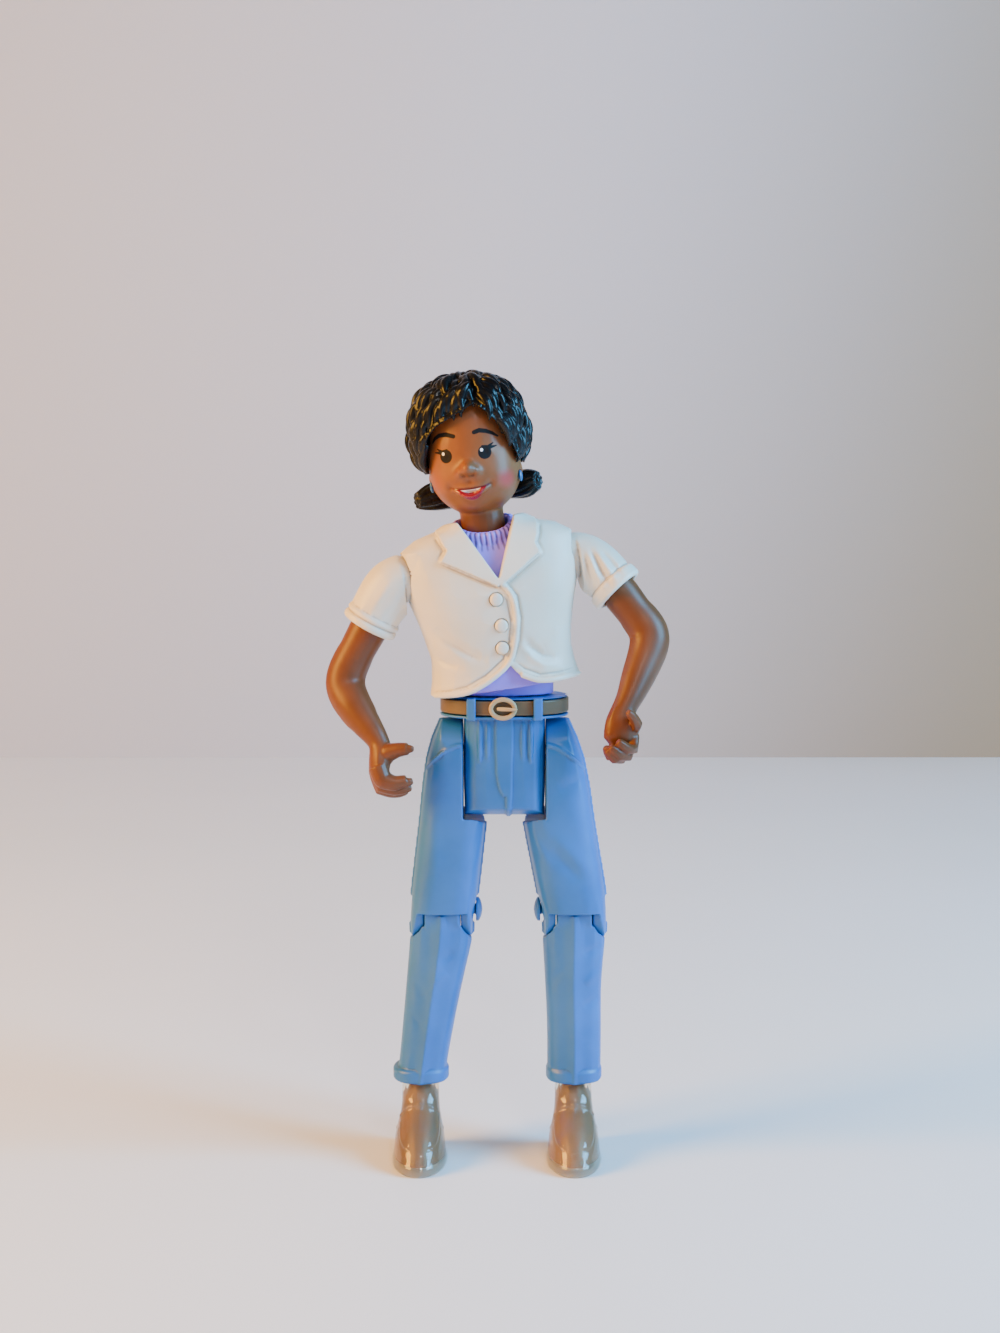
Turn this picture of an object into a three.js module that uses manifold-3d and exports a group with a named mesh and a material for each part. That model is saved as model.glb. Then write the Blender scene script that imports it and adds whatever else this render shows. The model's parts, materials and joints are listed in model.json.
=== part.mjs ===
// A jointed dollhouse woman in moulded plastic, 150 mm tall.
// Millimetres, +Z up. The doll faces -Y; "right" and "left" are the doll's own, so its right is at -X.
import * as THREE from 'three';
import { mergeVertices } from 'three/addons/utils/BufferGeometryUtils.js';
import Module from 'manifold-3d';

const wasm = await Module();
wasm.setup();

// Fits between pieces
const CLEARANCE = 0.3; // between pieces that turn, slide or seat in each other
const SEAM = 0.12; // parting line between two moulded halves

// Heights of the joints above the floor
const HIP_Z = 78.3;
const KNEE_Z = 47.8;
const WAIST_Z = 92.5; // the pin that the torso rocks on

// Pose of the upper body, in degrees
const WAIST_TURN = 7.5;
const WAIST_ROCK = 8;
const NECK_TURN = -15;

// Pelvis block and waistband
const PELVIS_WIDE = 7.5; // half width
const PELVIS_FRONT = 6.8;
const PELVIS_BACK = 7.2;
const PELVIS_ROUND = 12.1; // radius of the rounded seat about the hip axle
const BAND_BOTTOM = 85.2;
const BAND_TOP = 89;
const BAND_WIDE = 12;
const BAND_DEEP = 8.2;
const BELT_LOW = 86;
const BELT_HIGH = 88.6;
const BELT_THICK = 0.8;
const LOOP_X = 6.2;
const LOOP_WIDE = 1.7;
const FLY_PROUD = 0.35;
const PLEAT = 4.15; // half the length of a pleat under the waistband
const BUCKLE_WIDE = 2.75; // half width of the oval frame
const BUCKLE_TALL = 2.25;
const BUCKLE_BAR = 0.45; // radius of the frame's bar

// Hip and knee
const HIP_ROUND = 6.3; // radius of the rounded thigh top about the hip axle
const HIP_SIDE_GAP = 0.3; // from the pelvis side to the thigh's inner face
const CROTCH_ROUND = 13.6; // radius of the hollow in the thigh that clears the seat
const HIP_AXLE = 1.2;
const HIP_AXLE_END = 12.8; // from the middle of the doll
const AXLE_PLAY = 0.4; // at each end of an axle, in its blind hole
const THIGH_FRONT = 6.3;
const THIGH_BACK = 6.6;
const FRONT_HEM = 47.9;
const BACK_HEM = 53.4;
const KNEE_CHEEK = 5.3; // radius of the thigh's cheeks about the knee pin, at the outside
const KNEE_CHEEK_IN = 4.4; // and beside the tongue: the cheeks are coned
const TONGUE_ROUND = 5.2;
const TONGUE_WIDE = 3.2; // half width of the shin's tongue
const KNEE_PIN = 1;
const PIN_HEAD = 2.35;
const PIN_HEAD_TALL = 1.3;
const SEAM_STRIP = 0.6; // how far the trousers' side seam stands proud
const SEAM_STRIP_WIDE = 0.8;

// Trouser cuff and ankle
const CUFF_LOW = 14.8;
const CUFF_HIGH = 17.3;
const CUFF_WIDE = 5.4;
const CUFF_DEEP = 5.2;
const SHOE_ANKLE = 3.55; // outer radius of the clear shoe at its top
const SHOE_TOP = 15.6;
const SHOE_WALL = 0.8;
const ANKLE_PEG = 2;
const ANKLE_PEG_TOP = 20;

// Shoulder line, neck and waist plug, in the torso's own frame with its origin on the waist pin
const SHOULDER_W = 20.9;
const SHOULDER_AXLE = 1;
const SHOULDER_AXLE_END = 18.8;
const SLEEVE_ROOT = 4.5;
const SLEEVE_START = 14.95;
const SLEEVE_FREE = 16.55; // past here the sleeve may be wider than the armhole
const NECK_RADIUS = 4.1;
const NECK_FLANGE = 4.9;
const NECK_FLANGE_LOW = SHOULDER_W + SHOULDER_AXLE + 0.7;
const NECK_FLANGE_HIGH = NECK_FLANGE_LOW + 1.2;
const COLLAR_RADIUS = 5.2;
const COLLAR_RIBS = 18;
const COLLAR_RIB = 0.26; // how far a rib stands out from the middle of the band
const COLLAR_Z = 29; // height of the band beside the neck
const COLLAR_DIP = 2.4; // how much lower it runs in front
const COLLAR_CLIMB = 0.6; // and how much higher behind
const PLUG_WIDE = 9.3;
const PLUG_DEEP = 5.6;
const PLUG_TOP = 92.6;
const PLUG_SPIGOT = 4.8;
const PLUG_SPIGOT_LOW = 80.4;
const PLUG_FLANGE = 6;
const PLUG_FLANGE_TALL = 1.4;
const TONGUE_RADIUS = 3.2;
const WAIST_PIN = 0.9;
const WAIST_PIN_FRONT = 6.9; // its ends sit in blind holes in the front and back of the core
const WAIST_PIN_BACK = 6.5;
const PIPING = 0.58;
const PIPING_PROUD = 0.15;
const LAPEL_PROUD = 0.9;
const BUTTON = 1.1; // radius
const BUTTON_SUNK = 0.5; // how deep the button sits in the vest

// Head
const FACE_WIDE = 8.6;
const FACE_FRONT = 9;
const SKULL_BACK = 9.2;
const FACE_CENTRE = 39.4; // height of the widest part of the face
const CHIN_DROP = 8.7;
const SKULL_RISE = 15.6;
const HAIR_CENTRE = 46;
const HAIR_WIDE = 11.5;
const HAIR_SHIFT = -0.4; // the hair is fuller on the right
const HAIR_FRONT = 10;
const HAIR_BACK = 10.9;
const HAIR_RISE = 11.5;
const HAIR_DROP = 12;
const LOCK_PROUD = 0.5;
const NAPE = 37; // lower edge of the hair cap behind
const EARRING = 0.9;
const EYE_X = 3.65;
const EYE_Z = 42.35;

// Small tools for closed shapes

const degrees = THREE.MathUtils.degToRad;

function finish(color, roughness, metalness = 0) {
  return new THREE.MeshStandardMaterial({ color, roughness, metalness });
}

// Level ring: a superellipse with its own depth in front (-Y) and behind (+Y)
function ring({ x = 0, y = 0, z, wide, front, back = front, power = 2.4, sides = 24 }) {
  const points = [];
  for (let i = 0; i < sides; i += 1) {
    const turn = (i / sides) * Math.PI * 2;
    const c = Math.cos(turn);
    const s = Math.sin(turn);
    const reach = (Math.abs(c) ** power + Math.abs(s) ** power) ** (-1 / power);
    const deep = s < 0 ? front : back;
    points.push(new THREE.Vector3(x + wide * reach * c, y + deep * reach * s, z));
  }
  return points;
}

// Closed skin over rings of equal count, from the first to the last
function loft(rings, start = null, end = null) {
  const sides = rings[0].length;
  const middle = (points) => points.reduce((sum, p) => sum.add(p), new THREE.Vector3()).divideScalar(sides);
  const points = [...rings.flat(), start ?? middle(rings[0]), end ?? middle(rings.at(-1))];
  const first = rings.length * sides;
  const index = [];
  for (let r = 0; r < rings.length - 1; r += 1) {
    for (let i = 0; i < sides; i += 1) {
      const a = r * sides + i;
      const b = r * sides + ((i + 1) % sides);
      index.push(a, b, b + sides, a, b + sides, a + sides);
    }
  }
  for (let i = 0; i < sides; i += 1) {
    const next = (i + 1) % sides;
    index.push(first, next, i);
    index.push(first + 1, first - sides + i, first - sides + next);
  }
  const geometry = new THREE.BufferGeometry().setFromPoints(points);
  geometry.setIndex(index);
  return facingOut(geometry);
}

// Turns the faces round when the skin encloses a negative volume
function facingOut(geometry) {
  const position = geometry.attributes.position;
  const index = geometry.index.array;
  const corners = [new THREE.Vector3(), new THREE.Vector3(), new THREE.Vector3()];
  let volume = 0;
  for (let i = 0; i < index.length; i += 3) {
    corners.forEach((corner, k) => corner.fromBufferAttribute(position, index[i + k]));
    volume += corners[0].dot(corners[1].clone().cross(corners[2]));
  }
  if (volume < 0) {
    for (let i = 0; i < index.length; i += 3) {
      const swap = index[i];
      index[i] = index[i + 1];
      index[i + 1] = swap;
    }
  }
  return geometry;
}

// Round limb through stops [x, y, z, wide, deep]; "wide" lies across the limb in the plane square to up
function limb(stops, { sides = 10, steps = 2, up = new THREE.Vector3(0, 1, 0) } = {}) {
  const places = stops.map(([x, y, z]) => new THREE.Vector3(x, y, z));
  const path = new THREE.CatmullRomCurve3(places, false, 'catmullrom');
  const sizes = new THREE.CatmullRomCurve3(
    stops.map(([, , , wide, deep = wide]) => new THREE.Vector3(wide, deep, 0)), false, 'catmullrom');
  const count = (stops.length - 1) * steps;
  const section = (t, offset, scale) => {
    const tangent = path.getTangent(t);
    const across = new THREE.Vector3().crossVectors(up, tangent).normalize();
    const upright = new THREE.Vector3().crossVectors(tangent, across);
    const size = sizes.getPoint(t).multiplyScalar(scale);
    const centre = path.getPoint(t).addScaledVector(tangent, offset * Math.min(size.x, size.y) / scale);
    return Array.from({ length: sides }, (_, i) => {
      const turn = (i / sides) * Math.PI * 2;
      return centre.clone()
        .addScaledVector(across, size.x * Math.cos(turn))
        .addScaledVector(upright, size.y * Math.sin(turn));
    });
  };
  const rings = [section(0, -0.75, 0.6)];
  for (let i = 0; i <= count; i += 1) {
    rings.push(section(i / count, 0, 1));
  }
  rings.push(section(1, 0.75, 0.6));
  return loft(rings);
}

function solidOf(geometry) {
  const bare = new THREE.BufferGeometry();
  bare.setAttribute('position', geometry.attributes.position.clone());
  if (geometry.index) {
    bare.setIndex(geometry.index.clone());
  }
  const merged = mergeVertices(bare, 1e-4);
  return new wasm.Manifold(new wasm.Mesh({
    numProp: 3,
    vertProperties: new Float32Array(merged.attributes.position.array),
    triVerts: new Uint32Array(merged.index.array),
  }));
}

function geometryOf(solid) {
  const mesh = solid.getMesh();
  const geometry = new THREE.BufferGeometry();
  geometry.setAttribute('position', new THREE.BufferAttribute(new Float32Array(mesh.vertProperties), 3));
  geometry.setIndex(new THREE.BufferAttribute(new Uint32Array(mesh.triVerts), 1));
  return geometry;
}

function join(first, ...others) {
  return geometryOf(others.reduce((solid, other) => solid.add(solidOf(other)), solidOf(first)));
}

function cut(body, ...tools) {
  return geometryOf(tools.reduce((solid, tool) => solid.subtract(solidOf(tool)), solidOf(body)));
}

function common(first, second) {
  return geometryOf(solidOf(first).intersect(solidOf(second)));
}

// Block given by its lowest and highest corners
function block([x0, y0, z0], [x1, y1, z1]) {
  return new THREE.BoxGeometry(x1 - x0, y1 - y0, z1 - z0)
    .translate((x0 + x1) / 2, (y0 + y1) / 2, (z0 + z1) / 2);
}

const FAR = 60;
const frontHalf = (gap = SEAM) => block([-FAR, -FAR, -FAR], [FAR, -gap / 2, 3 * FAR]);
const backHalf = (gap = SEAM) => block([-FAR, gap / 2, -FAR], [FAR, FAR, 3 * FAR]);

// Round bars along each axis
function barX(radius, x0, x1, y, z, sides = 24) {
  return new THREE.CylinderGeometry(radius, radius, x1 - x0, sides).rotateZ(Math.PI / 2)
    .translate((x0 + x1) / 2, y, z);
}

function barY(radius, y0, y1, x, z, sides = 20) {
  return new THREE.CylinderGeometry(radius, radius, y1 - y0, sides).translate(x, (y0 + y1) / 2, z);
}

function barZ(radius, z0, z1, x = 0, y = 0, sides = 24) {
  return new THREE.CylinderGeometry(radius, radius, z1 - z0, sides).rotateX(Math.PI / 2)
    .translate(x, y, (z0 + z1) / 2);
}

function ball([x, y, z], [a, b, c], across = 12, rows = 8) {
  return new THREE.SphereGeometry(1, across, rows).rotateX(Math.PI / 2).scale(a, b, c).translate(x, y, z);
}

// Outline in X and Z, pushed through from y0 to y1
function slabThroughY(outline, y0, y1) {
  const shape = new THREE.Shape(outline.map(([x, z]) => new THREE.Vector2(x, z)));
  return new THREE.ExtrudeGeometry(shape, { depth: y1 - y0, bevelEnabled: false })
    .rotateX(Math.PI / 2).translate(0, y1, 0);
}

// Outline in Y and Z, pushed through from x0 to x1
function slabThroughX(shape, x0, x1) {
  return new THREE.ExtrudeGeometry(shape, { depth: x1 - x0, bevelEnabled: false, curveSegments: 12 })
    .rotateZ(Math.PI / 2).rotateY(Math.PI / 2).translate(x0, 0, 0);
}

// Round cord along a line of points
function cord(points, radius, { steps = 24, sides = 6, tension = 0.5 } = {}) {
  const path = new THREE.CatmullRomCurve3(points, false, 'catmullrom', tension);
  const section = new THREE.Shape(Array.from({ length: sides }, (_, i) => {
    const turn = (i / sides) * Math.PI * 2;
    return new THREE.Vector2(radius * Math.cos(turn), radius * Math.sin(turn));
  }));
  return new THREE.ExtrudeGeometry(section, { steps, bevelEnabled: false, extrudePath: path });
}

// Value between stations [[at, value...], ...] at a height
function between(stations, at, column) {
  const rising = [...stations].sort((a, b) => a[0] - b[0]);
  const above = rising.findIndex((row) => row[0] >= at);
  if (above <= 0) {
    return (above === 0 ? rising[0] : rising.at(-1))[column];
  }
  const [low, high] = [rising[above - 1], rising[above]];
  const share = (at - low[0]) / (high[0] - low[0]);
  return low[column] + (high[column] - low[column]) * share;
}

function named(name, geometry, material) {
  const mesh = new THREE.Mesh(geometry, material);
  mesh.name = name;
  return mesh;
}

// Finishes
const skin = finish(0x8a4a26, 0.35);
const hairBlack = finish(0x121214, 0.3);
const offWhite = finish(0xf2ecdf, 0.55);
const lilac = finish(0xc2a4e2, 0.5);
const trouserBlue = finish(0x6fa8d6, 0.45);
const beltTan = finish(0xb59a78, 0.5);
const buckleTan = finish(0xcdb995, 0.4);
const shoeTan = finish(0xa57e5c, 0.45);
const clearAmber = finish(0xd9c8a4, 0.12);
const steel = finish(0xb8bcc0, 0.3, 1);
const studBlue = finish(0x8fbde0, 0.3);

// Torso: level stations of the core, the vest over it and the room inside the vest
// Each row: height over the waist pin, half width, depth in front, depth behind, squareness
const CORE = [
  [-1.6, 11.2, 7.8, 7.5, 2.5],
  [2, 11.5, 7.5, 6.9, 2.5],
  [6, 11.8, 7.2, 6.4, 2.5],
  [12.5, 13.3, 8.6, 6.8, 2.6],
  [16.4, 14.3, 8.4, 7.0, 2.8],
  [20.5, 14.6, 7.2, 6.9, 3],
  [25.4, 14, 5.5, 5.6, 3],
  [26.8, 9.4, 4.8, 5.0, 2.5],
  [27.6, 6.2, 4.6, 4.8, 2.4],
];
const VEST = [
  [-1.6, 14.4, 9.0, 8.7, 2.4],
  [1, 13.7, 8.7, 8.2, 2.4],
  [5, 13.2, 8.5, 7.7, 2.5],
  [11, 14.4, 9.9, 8.0, 2.6],
  [16.4, 15.9, 9.9, 8.4, 3],
  [20.5, 16.2, 8.7, 8.3, 3.3],
  [25.6, 16.2, 6.8, 7.0, 3.2],
  [27.6, 13.2, 6.2, 6.4, 2.6],
  [28.6, 9.4, 6.0, 6.2, 2.4],
  [29.3, 6.6, 5.7, 5.9, 2.4],
];
// The vest stands off below the waist, so its room is wider there than the core
const VEST_ROOM = [
  [-2.2, 13.3, 7.9, 7.6, 2.4],
  [1, 12.6, 7.75, 7.2, 2.5],
  [4.5, 12.05, 7.6, 6.85, 2.5],
  ...CORE.slice(3).map(([z, wide, front, back, power]) => [
    z, wide + CLEARANCE, front + CLEARANCE, back + CLEARANCE, power]),
];

function torsoSkin(stations, grow = 0) {
  const last = stations.length - 1;
  return loft(stations.map(([z, wide, front, back, power], i) => ring({
    z: z + (i === last ? grow : 0), wide: wide + grow, front: front + grow, back: back + grow, power,
  })));
}

// Point on the front of the vest, a little proud of it or under it
function onVest(x, z, proud = 0) {
  const wide = between(VEST, z, 1);
  const front = between(VEST, z, 2);
  const power = between(VEST, z, 4);
  const share = Math.min(Math.abs(x) / wide, 0.999);
  return new THREE.Vector3(x, -front * (1 - share ** power) ** (1 / power) - proud, z);
}

// Ribbed collar ring, lower in front than behind
function collar() {
  const sections = COLLAR_RIBS * 2;
  const root = 25; // its foot, inside the torso
  const rings = [];
  for (let i = 0; i <= sections; i += 1) {
    const turn = ((i % sections) / sections) * Math.PI * 2;
    const rib = i % 2 === 0 ? COLLAR_RIB : -COLLAR_RIB;
    const ahead = Math.sin(turn);
    const middle = COLLAR_Z + ahead * (ahead < 0 ? COLLAR_DIP : COLLAR_CLIMB);
    const section = [
      [0.6 + rib, middle - 0.6], [0.6 + rib, middle + 0.5], [0, middle + 1], [-0.6, middle + 0.4],
      [-0.4, root], [0.3, root],
    ];
    rings.push(section.map(([out, z]) => new THREE.Vector3(
      (COLLAR_RADIUS + out) * Math.cos(turn), (COLLAR_RADIUS + out) * Math.sin(turn), z)));
  }
  return ringBand(rings);
}

// Closed band: the last ring equals the first, with no end caps
function ringBand(rings) {
  const sides = rings[0].length;
  const index = [];
  for (let r = 0; r < rings.length - 1; r += 1) {
    for (let i = 0; i < sides; i += 1) {
      const next = (i + 1) % sides;
      const a = r * sides + i;
      const b = r * sides + next;
      index.push(a, b, b + sides, a, b + sides, a + sides);
    }
  }
  const geometry = new THREE.BufferGeometry().setFromPoints(rings.flat());
  geometry.setIndex(index);
  return facingOut(mergeVertices(geometry, 1e-4));
}

function neckBore() {
  const grow = CLEARANCE;
  return join(
    barZ(NECK_RADIUS + grow, NECK_FLANGE_HIGH, 32),
    barZ(NECK_FLANGE + grow, NECK_FLANGE_LOW - grow, NECK_FLANGE_HIGH + grow),
  );
}

// Room inside the torso for the waist plug, which rocks either way
function plugRoom() {
  const wide = Math.hypot(PLUG_WIDE, WAIST_Z - BAND_TOP - CLEARANCE) + CLEARANCE;
  const roof = PLUG_TOP - WAIST_Z + PLUG_WIDE * Math.sin(degrees(WAIST_ROCK)) + CLEARANCE;
  const drum = loft([-4, roof].map((z) => ring({ z, wide, front: PLUG_DEEP + CLEARANCE, power: 2.6 })));
  const tongue = barY(TONGUE_RADIUS + CLEARANCE, -3.3, 3.3, 0, 0);
  const rise = block([-TONGUE_RADIUS - 0.9, -3.3, -1], [TONGUE_RADIUS + 0.9, 3.3, roof]);
  return join(drum, tongue, rise);
}

function torsoCore() {
  let core = join(torsoSkin(CORE), collar());
  core = cut(core, neckBore(), plugRoom());
  core = cut(core,
    barX(SHOULDER_AXLE + CLEARANCE, -FAR, FAR, 0, SHOULDER_W),
    barY(WAIST_PIN + CLEARANCE, -WAIST_PIN_FRONT - 0.2, WAIST_PIN_BACK + 0.2, 0, 0, 16));
  return core;
}

// Hem of the vest in front: the right panel laps over the left one and both corners are rounded
const RIGHT_HEM = [[-14.9, -1.6], [-11.85, -1.75], [-7.95, -1.2], [-3.75, 0.5], [0.2, 3.2]];
const RIGHT_EDGE = [[0.2, 3.2], [1.75, 7], [2.5, 11.4], [2.3, 15.4], [0.3, 18.6]];
const LEFT_HEM = [[0.2, 3.2], [2.1, 0.6], [5.4, -1.05], [9.45, -1.3], [14.9, -1.4]];
const LAPELS = [
  [[0.7, 17.7], [3.9, 19.8], [8.8, 22.8], [8.2, 24.6], [8.9, 26], [9.8, 30], [3, 30], [-0.3, 18.5]],
  [[-0.1, 17.7], [-3.9, 20.2], [-9.6, 23.6], [-8.2, 25.4], [-8.9, 26.8], [-9.6, 30], [-2.4, 30], [0.9, 18.5]],
];

function curved(points, count) {
  const places = points.map(([x, z]) => new THREE.Vector3(x, 0, z));
  const path = new THREE.CatmullRomCurve3(places, false, 'catmullrom');
  return path.getPoints(count).map((p) => [p.x, p.z]);
}

function button(z, x) {
  const base = onVest(x, z);
  const profile = [
    [0, -BUTTON_SUNK], [BUTTON, -BUTTON_SUNK], [BUTTON, 0.25], [BUTTON * 0.72, 0.62], [0, 0.78],
  ];
  return new THREE.LatheGeometry(profile.map(([r, h]) => new THREE.Vector2(r, h)), 12)
    .rotateX(Math.PI).translate(base.x, base.y, base.z);
}

function buttonHole(z, x) {
  const base = onVest(x, z);
  return barY(BUTTON + CLEARANCE, base.y - 2, base.y + BUTTON_SUNK + 0.1, x, z, 12);
}

const BUTTONS = [[15.4, -0.7], [10.5, -0.4], [6.3, -0.7]];

// Hollows the solid vest out for the torso, the sleeves and the collar
function hollowed(solid, ...holes) {
  const armholes = barX(SLEEVE_ROOT + CLEARANCE, -FAR, FAR, 0, SHOULDER_W, 24);
  const neck = barZ(COLLAR_RADIUS + 1.2, 22, 34, 0, 0, 24);
  return cut(solid, torsoSkin(VEST_ROOM), armholes, neck, ...holes);
}

function vestFront() {
  const below = slabThroughY([
    ...curved(RIGHT_HEM, 8), ...curved(LEFT_HEM, 8).slice(1), [20, -8], [-20, -8],
  ], -14, 0);
  const opening = slabThroughY([[0.3, 18.9], [5.3, 30], [5.3, 34], [-5.3, 34], [-5.3, 30]], -14, 0);
  const proud = torsoSkin(VEST, LAPEL_PROUD);
  const lapels = LAPELS.map((outline) => common(proud, slabThroughY(outline, -14, -2)));
  const shell = cut(join(torsoSkin(VEST), ...lapels), below, opening);
  const edge = [...RIGHT_HEM, ...RIGHT_EDGE.slice(1)]
    .map(([x, z]) => [Math.max(x, -13.8), Math.max(z + 0.2, -1.2)]);
  const leftEdge = LEFT_HEM.slice(1).map(([x, z]) => [Math.min(x, 13.6), z + 0.3]);
  const piping = join(
    cord(edge.map(([x, z]) => onVest(x, z, PIPING_PROUD)), PIPING, { steps: 20 }),
    cord(leftEdge.map(([x, z]) => onVest(x, z, PIPING_PROUD)), PIPING, { steps: 9 }));
  return common(hollowed(join(shell, piping), ...BUTTONS.map(([z, x]) => buttonHole(z, x))), frontHalf());
}

function vestBack() {
  const hem = cord([-13, -9, -4, 0, 4, 9, 13].map((x) => {
    const front = onVest(x, -1.1);
    return new THREE.Vector3(x, -front.y * VEST[0][3] / VEST[0][2], -1.1);
  }), PIPING, { steps: 12 });
  return common(hollowed(join(torsoSkin(VEST), cut(hem, block([-20, -5, -9], [20, 15, -1.6])))), backHalf());
}

// Sleeves and arms, as stops along each arm: x, y, z, half width, half depth
const RIGHT_SLEEVE = [
  [-SLEEVE_START, 0, SHOULDER_W, 4.5], [-17.6, 0.2, 20.2, 5.5, 5.3], [-20.6, 0.6, 17.4, 5.3, 5.1],
  [-22.6, 1, 14.7, 4.8, 4.8],
];
const LEFT_SLEEVE = [
  [SLEEVE_START, 0, SHOULDER_W, 4.5], [17.6, -0.7, 19.7, 5.1, 5], [20.2, -2, 17.3, 5.1, 5],
  [22, -3, 14.7, 4.7, 4.6],
];
const RIGHT_ARM = [
  [-22, 0.9, 15.6, 3.5], [-23.45, 1.2, 13.2, 3.9], [-26.75, 1.6, 8.7, 3.6, 3.4],
  [-29.2, 1.7, 4.9, 3.75, 3.3], [-29.8, 0.9, 2, 3.8, 3.3], [-28.9, -1.2, -1, 3.5, 3.2],
  [-27.5, -3, -3.9, 3.1, 2.9], [-26.2, -4.8, -6.3, 2.5, 2.4], [-25.4, -5.9, -8.4, 2.15, 2.1],
  [-25.8, -6.6, -10.9, 2.2, 2.9], [-26.4, -6.8, -13.4, 2, 3.1],
];
const LEFT_ARM = [
  [21.6, -2.9, 15.4, 3.5], [23.1, -3.7, 12.9, 3.85], [25.4, -5.1, 8.6, 3.6, 3.4],
  [27, -6.2, 5.6, 3.8, 3.3], [27.1, -6.9, 3.1, 3.9, 3.3], [25.6, -8, 0.2, 3.6, 3.2],
  [23.3, -9.7, -3, 3.2, 2.9], [21.2, -11.4, -5.9, 2.6, 2.4], [19.6, -12.4, -7.9, 2.35, 2.1],
  [18.6, -13.3, -10.3, 3.1, 2], [18.2, -13.4, -12.9, 3.3, 2],
];
// Fingers and thumb, from the knuckle to the tip
const RIGHT_FINGERS = [
  [[-26.9, -8.4, -12.6], [-26.2, -9.2, -14.8], [-23.9, -9.7, -15.7], [-21.3, -9.7, -15.4]],
  [[-27.2, -7.1, -13.4], [-26.5, -7.7, -16], [-24.1, -8.1, -17.1], [-21.6, -8.2, -16.8]],
  [[-27.2, -5.7, -13.8], [-26.6, -6.1, -16.7], [-24.4, -6.5, -17.8], [-22.3, -6.6, -17.6]],
  [[-26.9, -4.4, -13.4], [-26.6, -4.6, -16.4], [-24.8, -4.9, -17.5], [-23, -5, -17.4]],
  [[-25.6, -7, -9.4], [-23.8, -8, -9.2], [-21.8, -9, -9.3], [-20.2, -9.6, -9.4]],
];
const LEFT_FINGERS = [
  [[20.7, -13.4, -13], [19.9, -15.4, -15], [18.5, -17, -14.6], [17.2, -17.6, -13.2]],
  [[19.5, -13.5, -14], [18.6, -15.4, -16.2], [17, -17, -15.6], [15.7, -17.4, -14]],
  [[18, -13.5, -14.4], [17.2, -15.2, -16.6], [16, -16.6, -16], [15, -17, -14.6]],
  [[16.8, -13.3, -14], [16.2, -14.7, -16.1], [15.4, -15.8, -15.6], [14.9, -16.1, -14.2]],
  [[20.7, -13.5, -11.6], [21.1, -15, -10.6], [20.6, -16.2, -9.3], [19.8, -16.8, -8.2]],
];
const FINGER = [1.12, 0.98]; // radius at the knuckle and at the tip
const THUMB = [1.35, 0.9];

function finger(points, [root, tip]) {
  const last = points.length - 1;
  return limb(points.map(([x, y, z], i) => [x, y, z, root + (tip - root) * (i / last)]), {
    sides: 6,
    steps: 1,
  });
}

const CUFF_PROUD = 0.7;

function sleeveCuff(stops) {
  const [a, b] = stops.slice(-2).map(([x, y, z]) => new THREE.Vector3(x, y, z));
  const along = b.clone().sub(a).normalize();
  const outer = stops.at(-1)[3] + CUFF_PROUD;
  const profile = [[0, -0.4], [outer - 0.3, -0.4], [outer, 0], [outer, 1.9], [outer - 0.4, 2.3], [0, 2.3]];
  return new THREE.LatheGeometry(profile.map(([r, h]) => new THREE.Vector2(r, h)), 14)
    .applyQuaternion(new THREE.Quaternion().setFromUnitVectors(new THREE.Vector3(0, 1, 0), along))
    .translate(b.x, b.y, b.z);
}

// Keeps the wide part of a sleeve clear of the vest while the arm turns
function armholeCollar(side) {
  const x0 = Math.min(side * 9, side * SLEEVE_FREE);
  const x1 = Math.max(side * 9, side * SLEEVE_FREE);
  return cut(barX(16, x0, x1, 0, SHOULDER_W, 8), barX(SLEEVE_ROOT, x0 - 1, x1 + 1, 0, SHOULDER_W, 20));
}

function growStops(stops, grow) {
  return stops.map(([x, y, z, wide, deep = wide]) => [x, y, z, wide + grow, deep + grow]);
}

function sleeve(stops, armStops, side) {
  const hollow = limb(growStops(armStops.slice(0, 3), CLEARANCE + 0.1));
  const inner = side * SLEEVE_START;
  const trim = block([Math.min(0, inner), -20, 0], [Math.max(0, inner), 20, 40]);
  const solid = join(limb(stops, { sides: 14 }), sleeveCuff(stops));
  const end = SHOULDER_AXLE_END + AXLE_PLAY;
  return cut(solid, armholeCollar(side), trim, hollow,
    barX(SHOULDER_AXLE + CLEARANCE, -end, end, 0, SHOULDER_W, 16));
}

function arm(stops, fingers) {
  return join(limb(stops), ...fingers.map((points, i) => finger(points, i < 4 ? FINGER : THUMB)));
}

// Soft swellings and hollows of the face: place, reach, height
const FACE_FORMS = [
  { at: [5.2, -5.9, 36.8], reach: 2.7, height: 0.8 },
  { at: [-5.2, -5.9, 36.8], reach: 2.7, height: 0.8 },
  { at: [0, -6.2, 32.6], reach: 2.3, height: 0.8 },
  { at: [0, -8.4, 36.2], reach: 2.4, height: 0.35 },
  { at: [EYE_X, -8, EYE_Z + 0.3], reach: 1.9, height: -0.35 },
  { at: [-EYE_X, -8, EYE_Z + 0.3], reach: 1.9, height: -0.35 },
];

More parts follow.
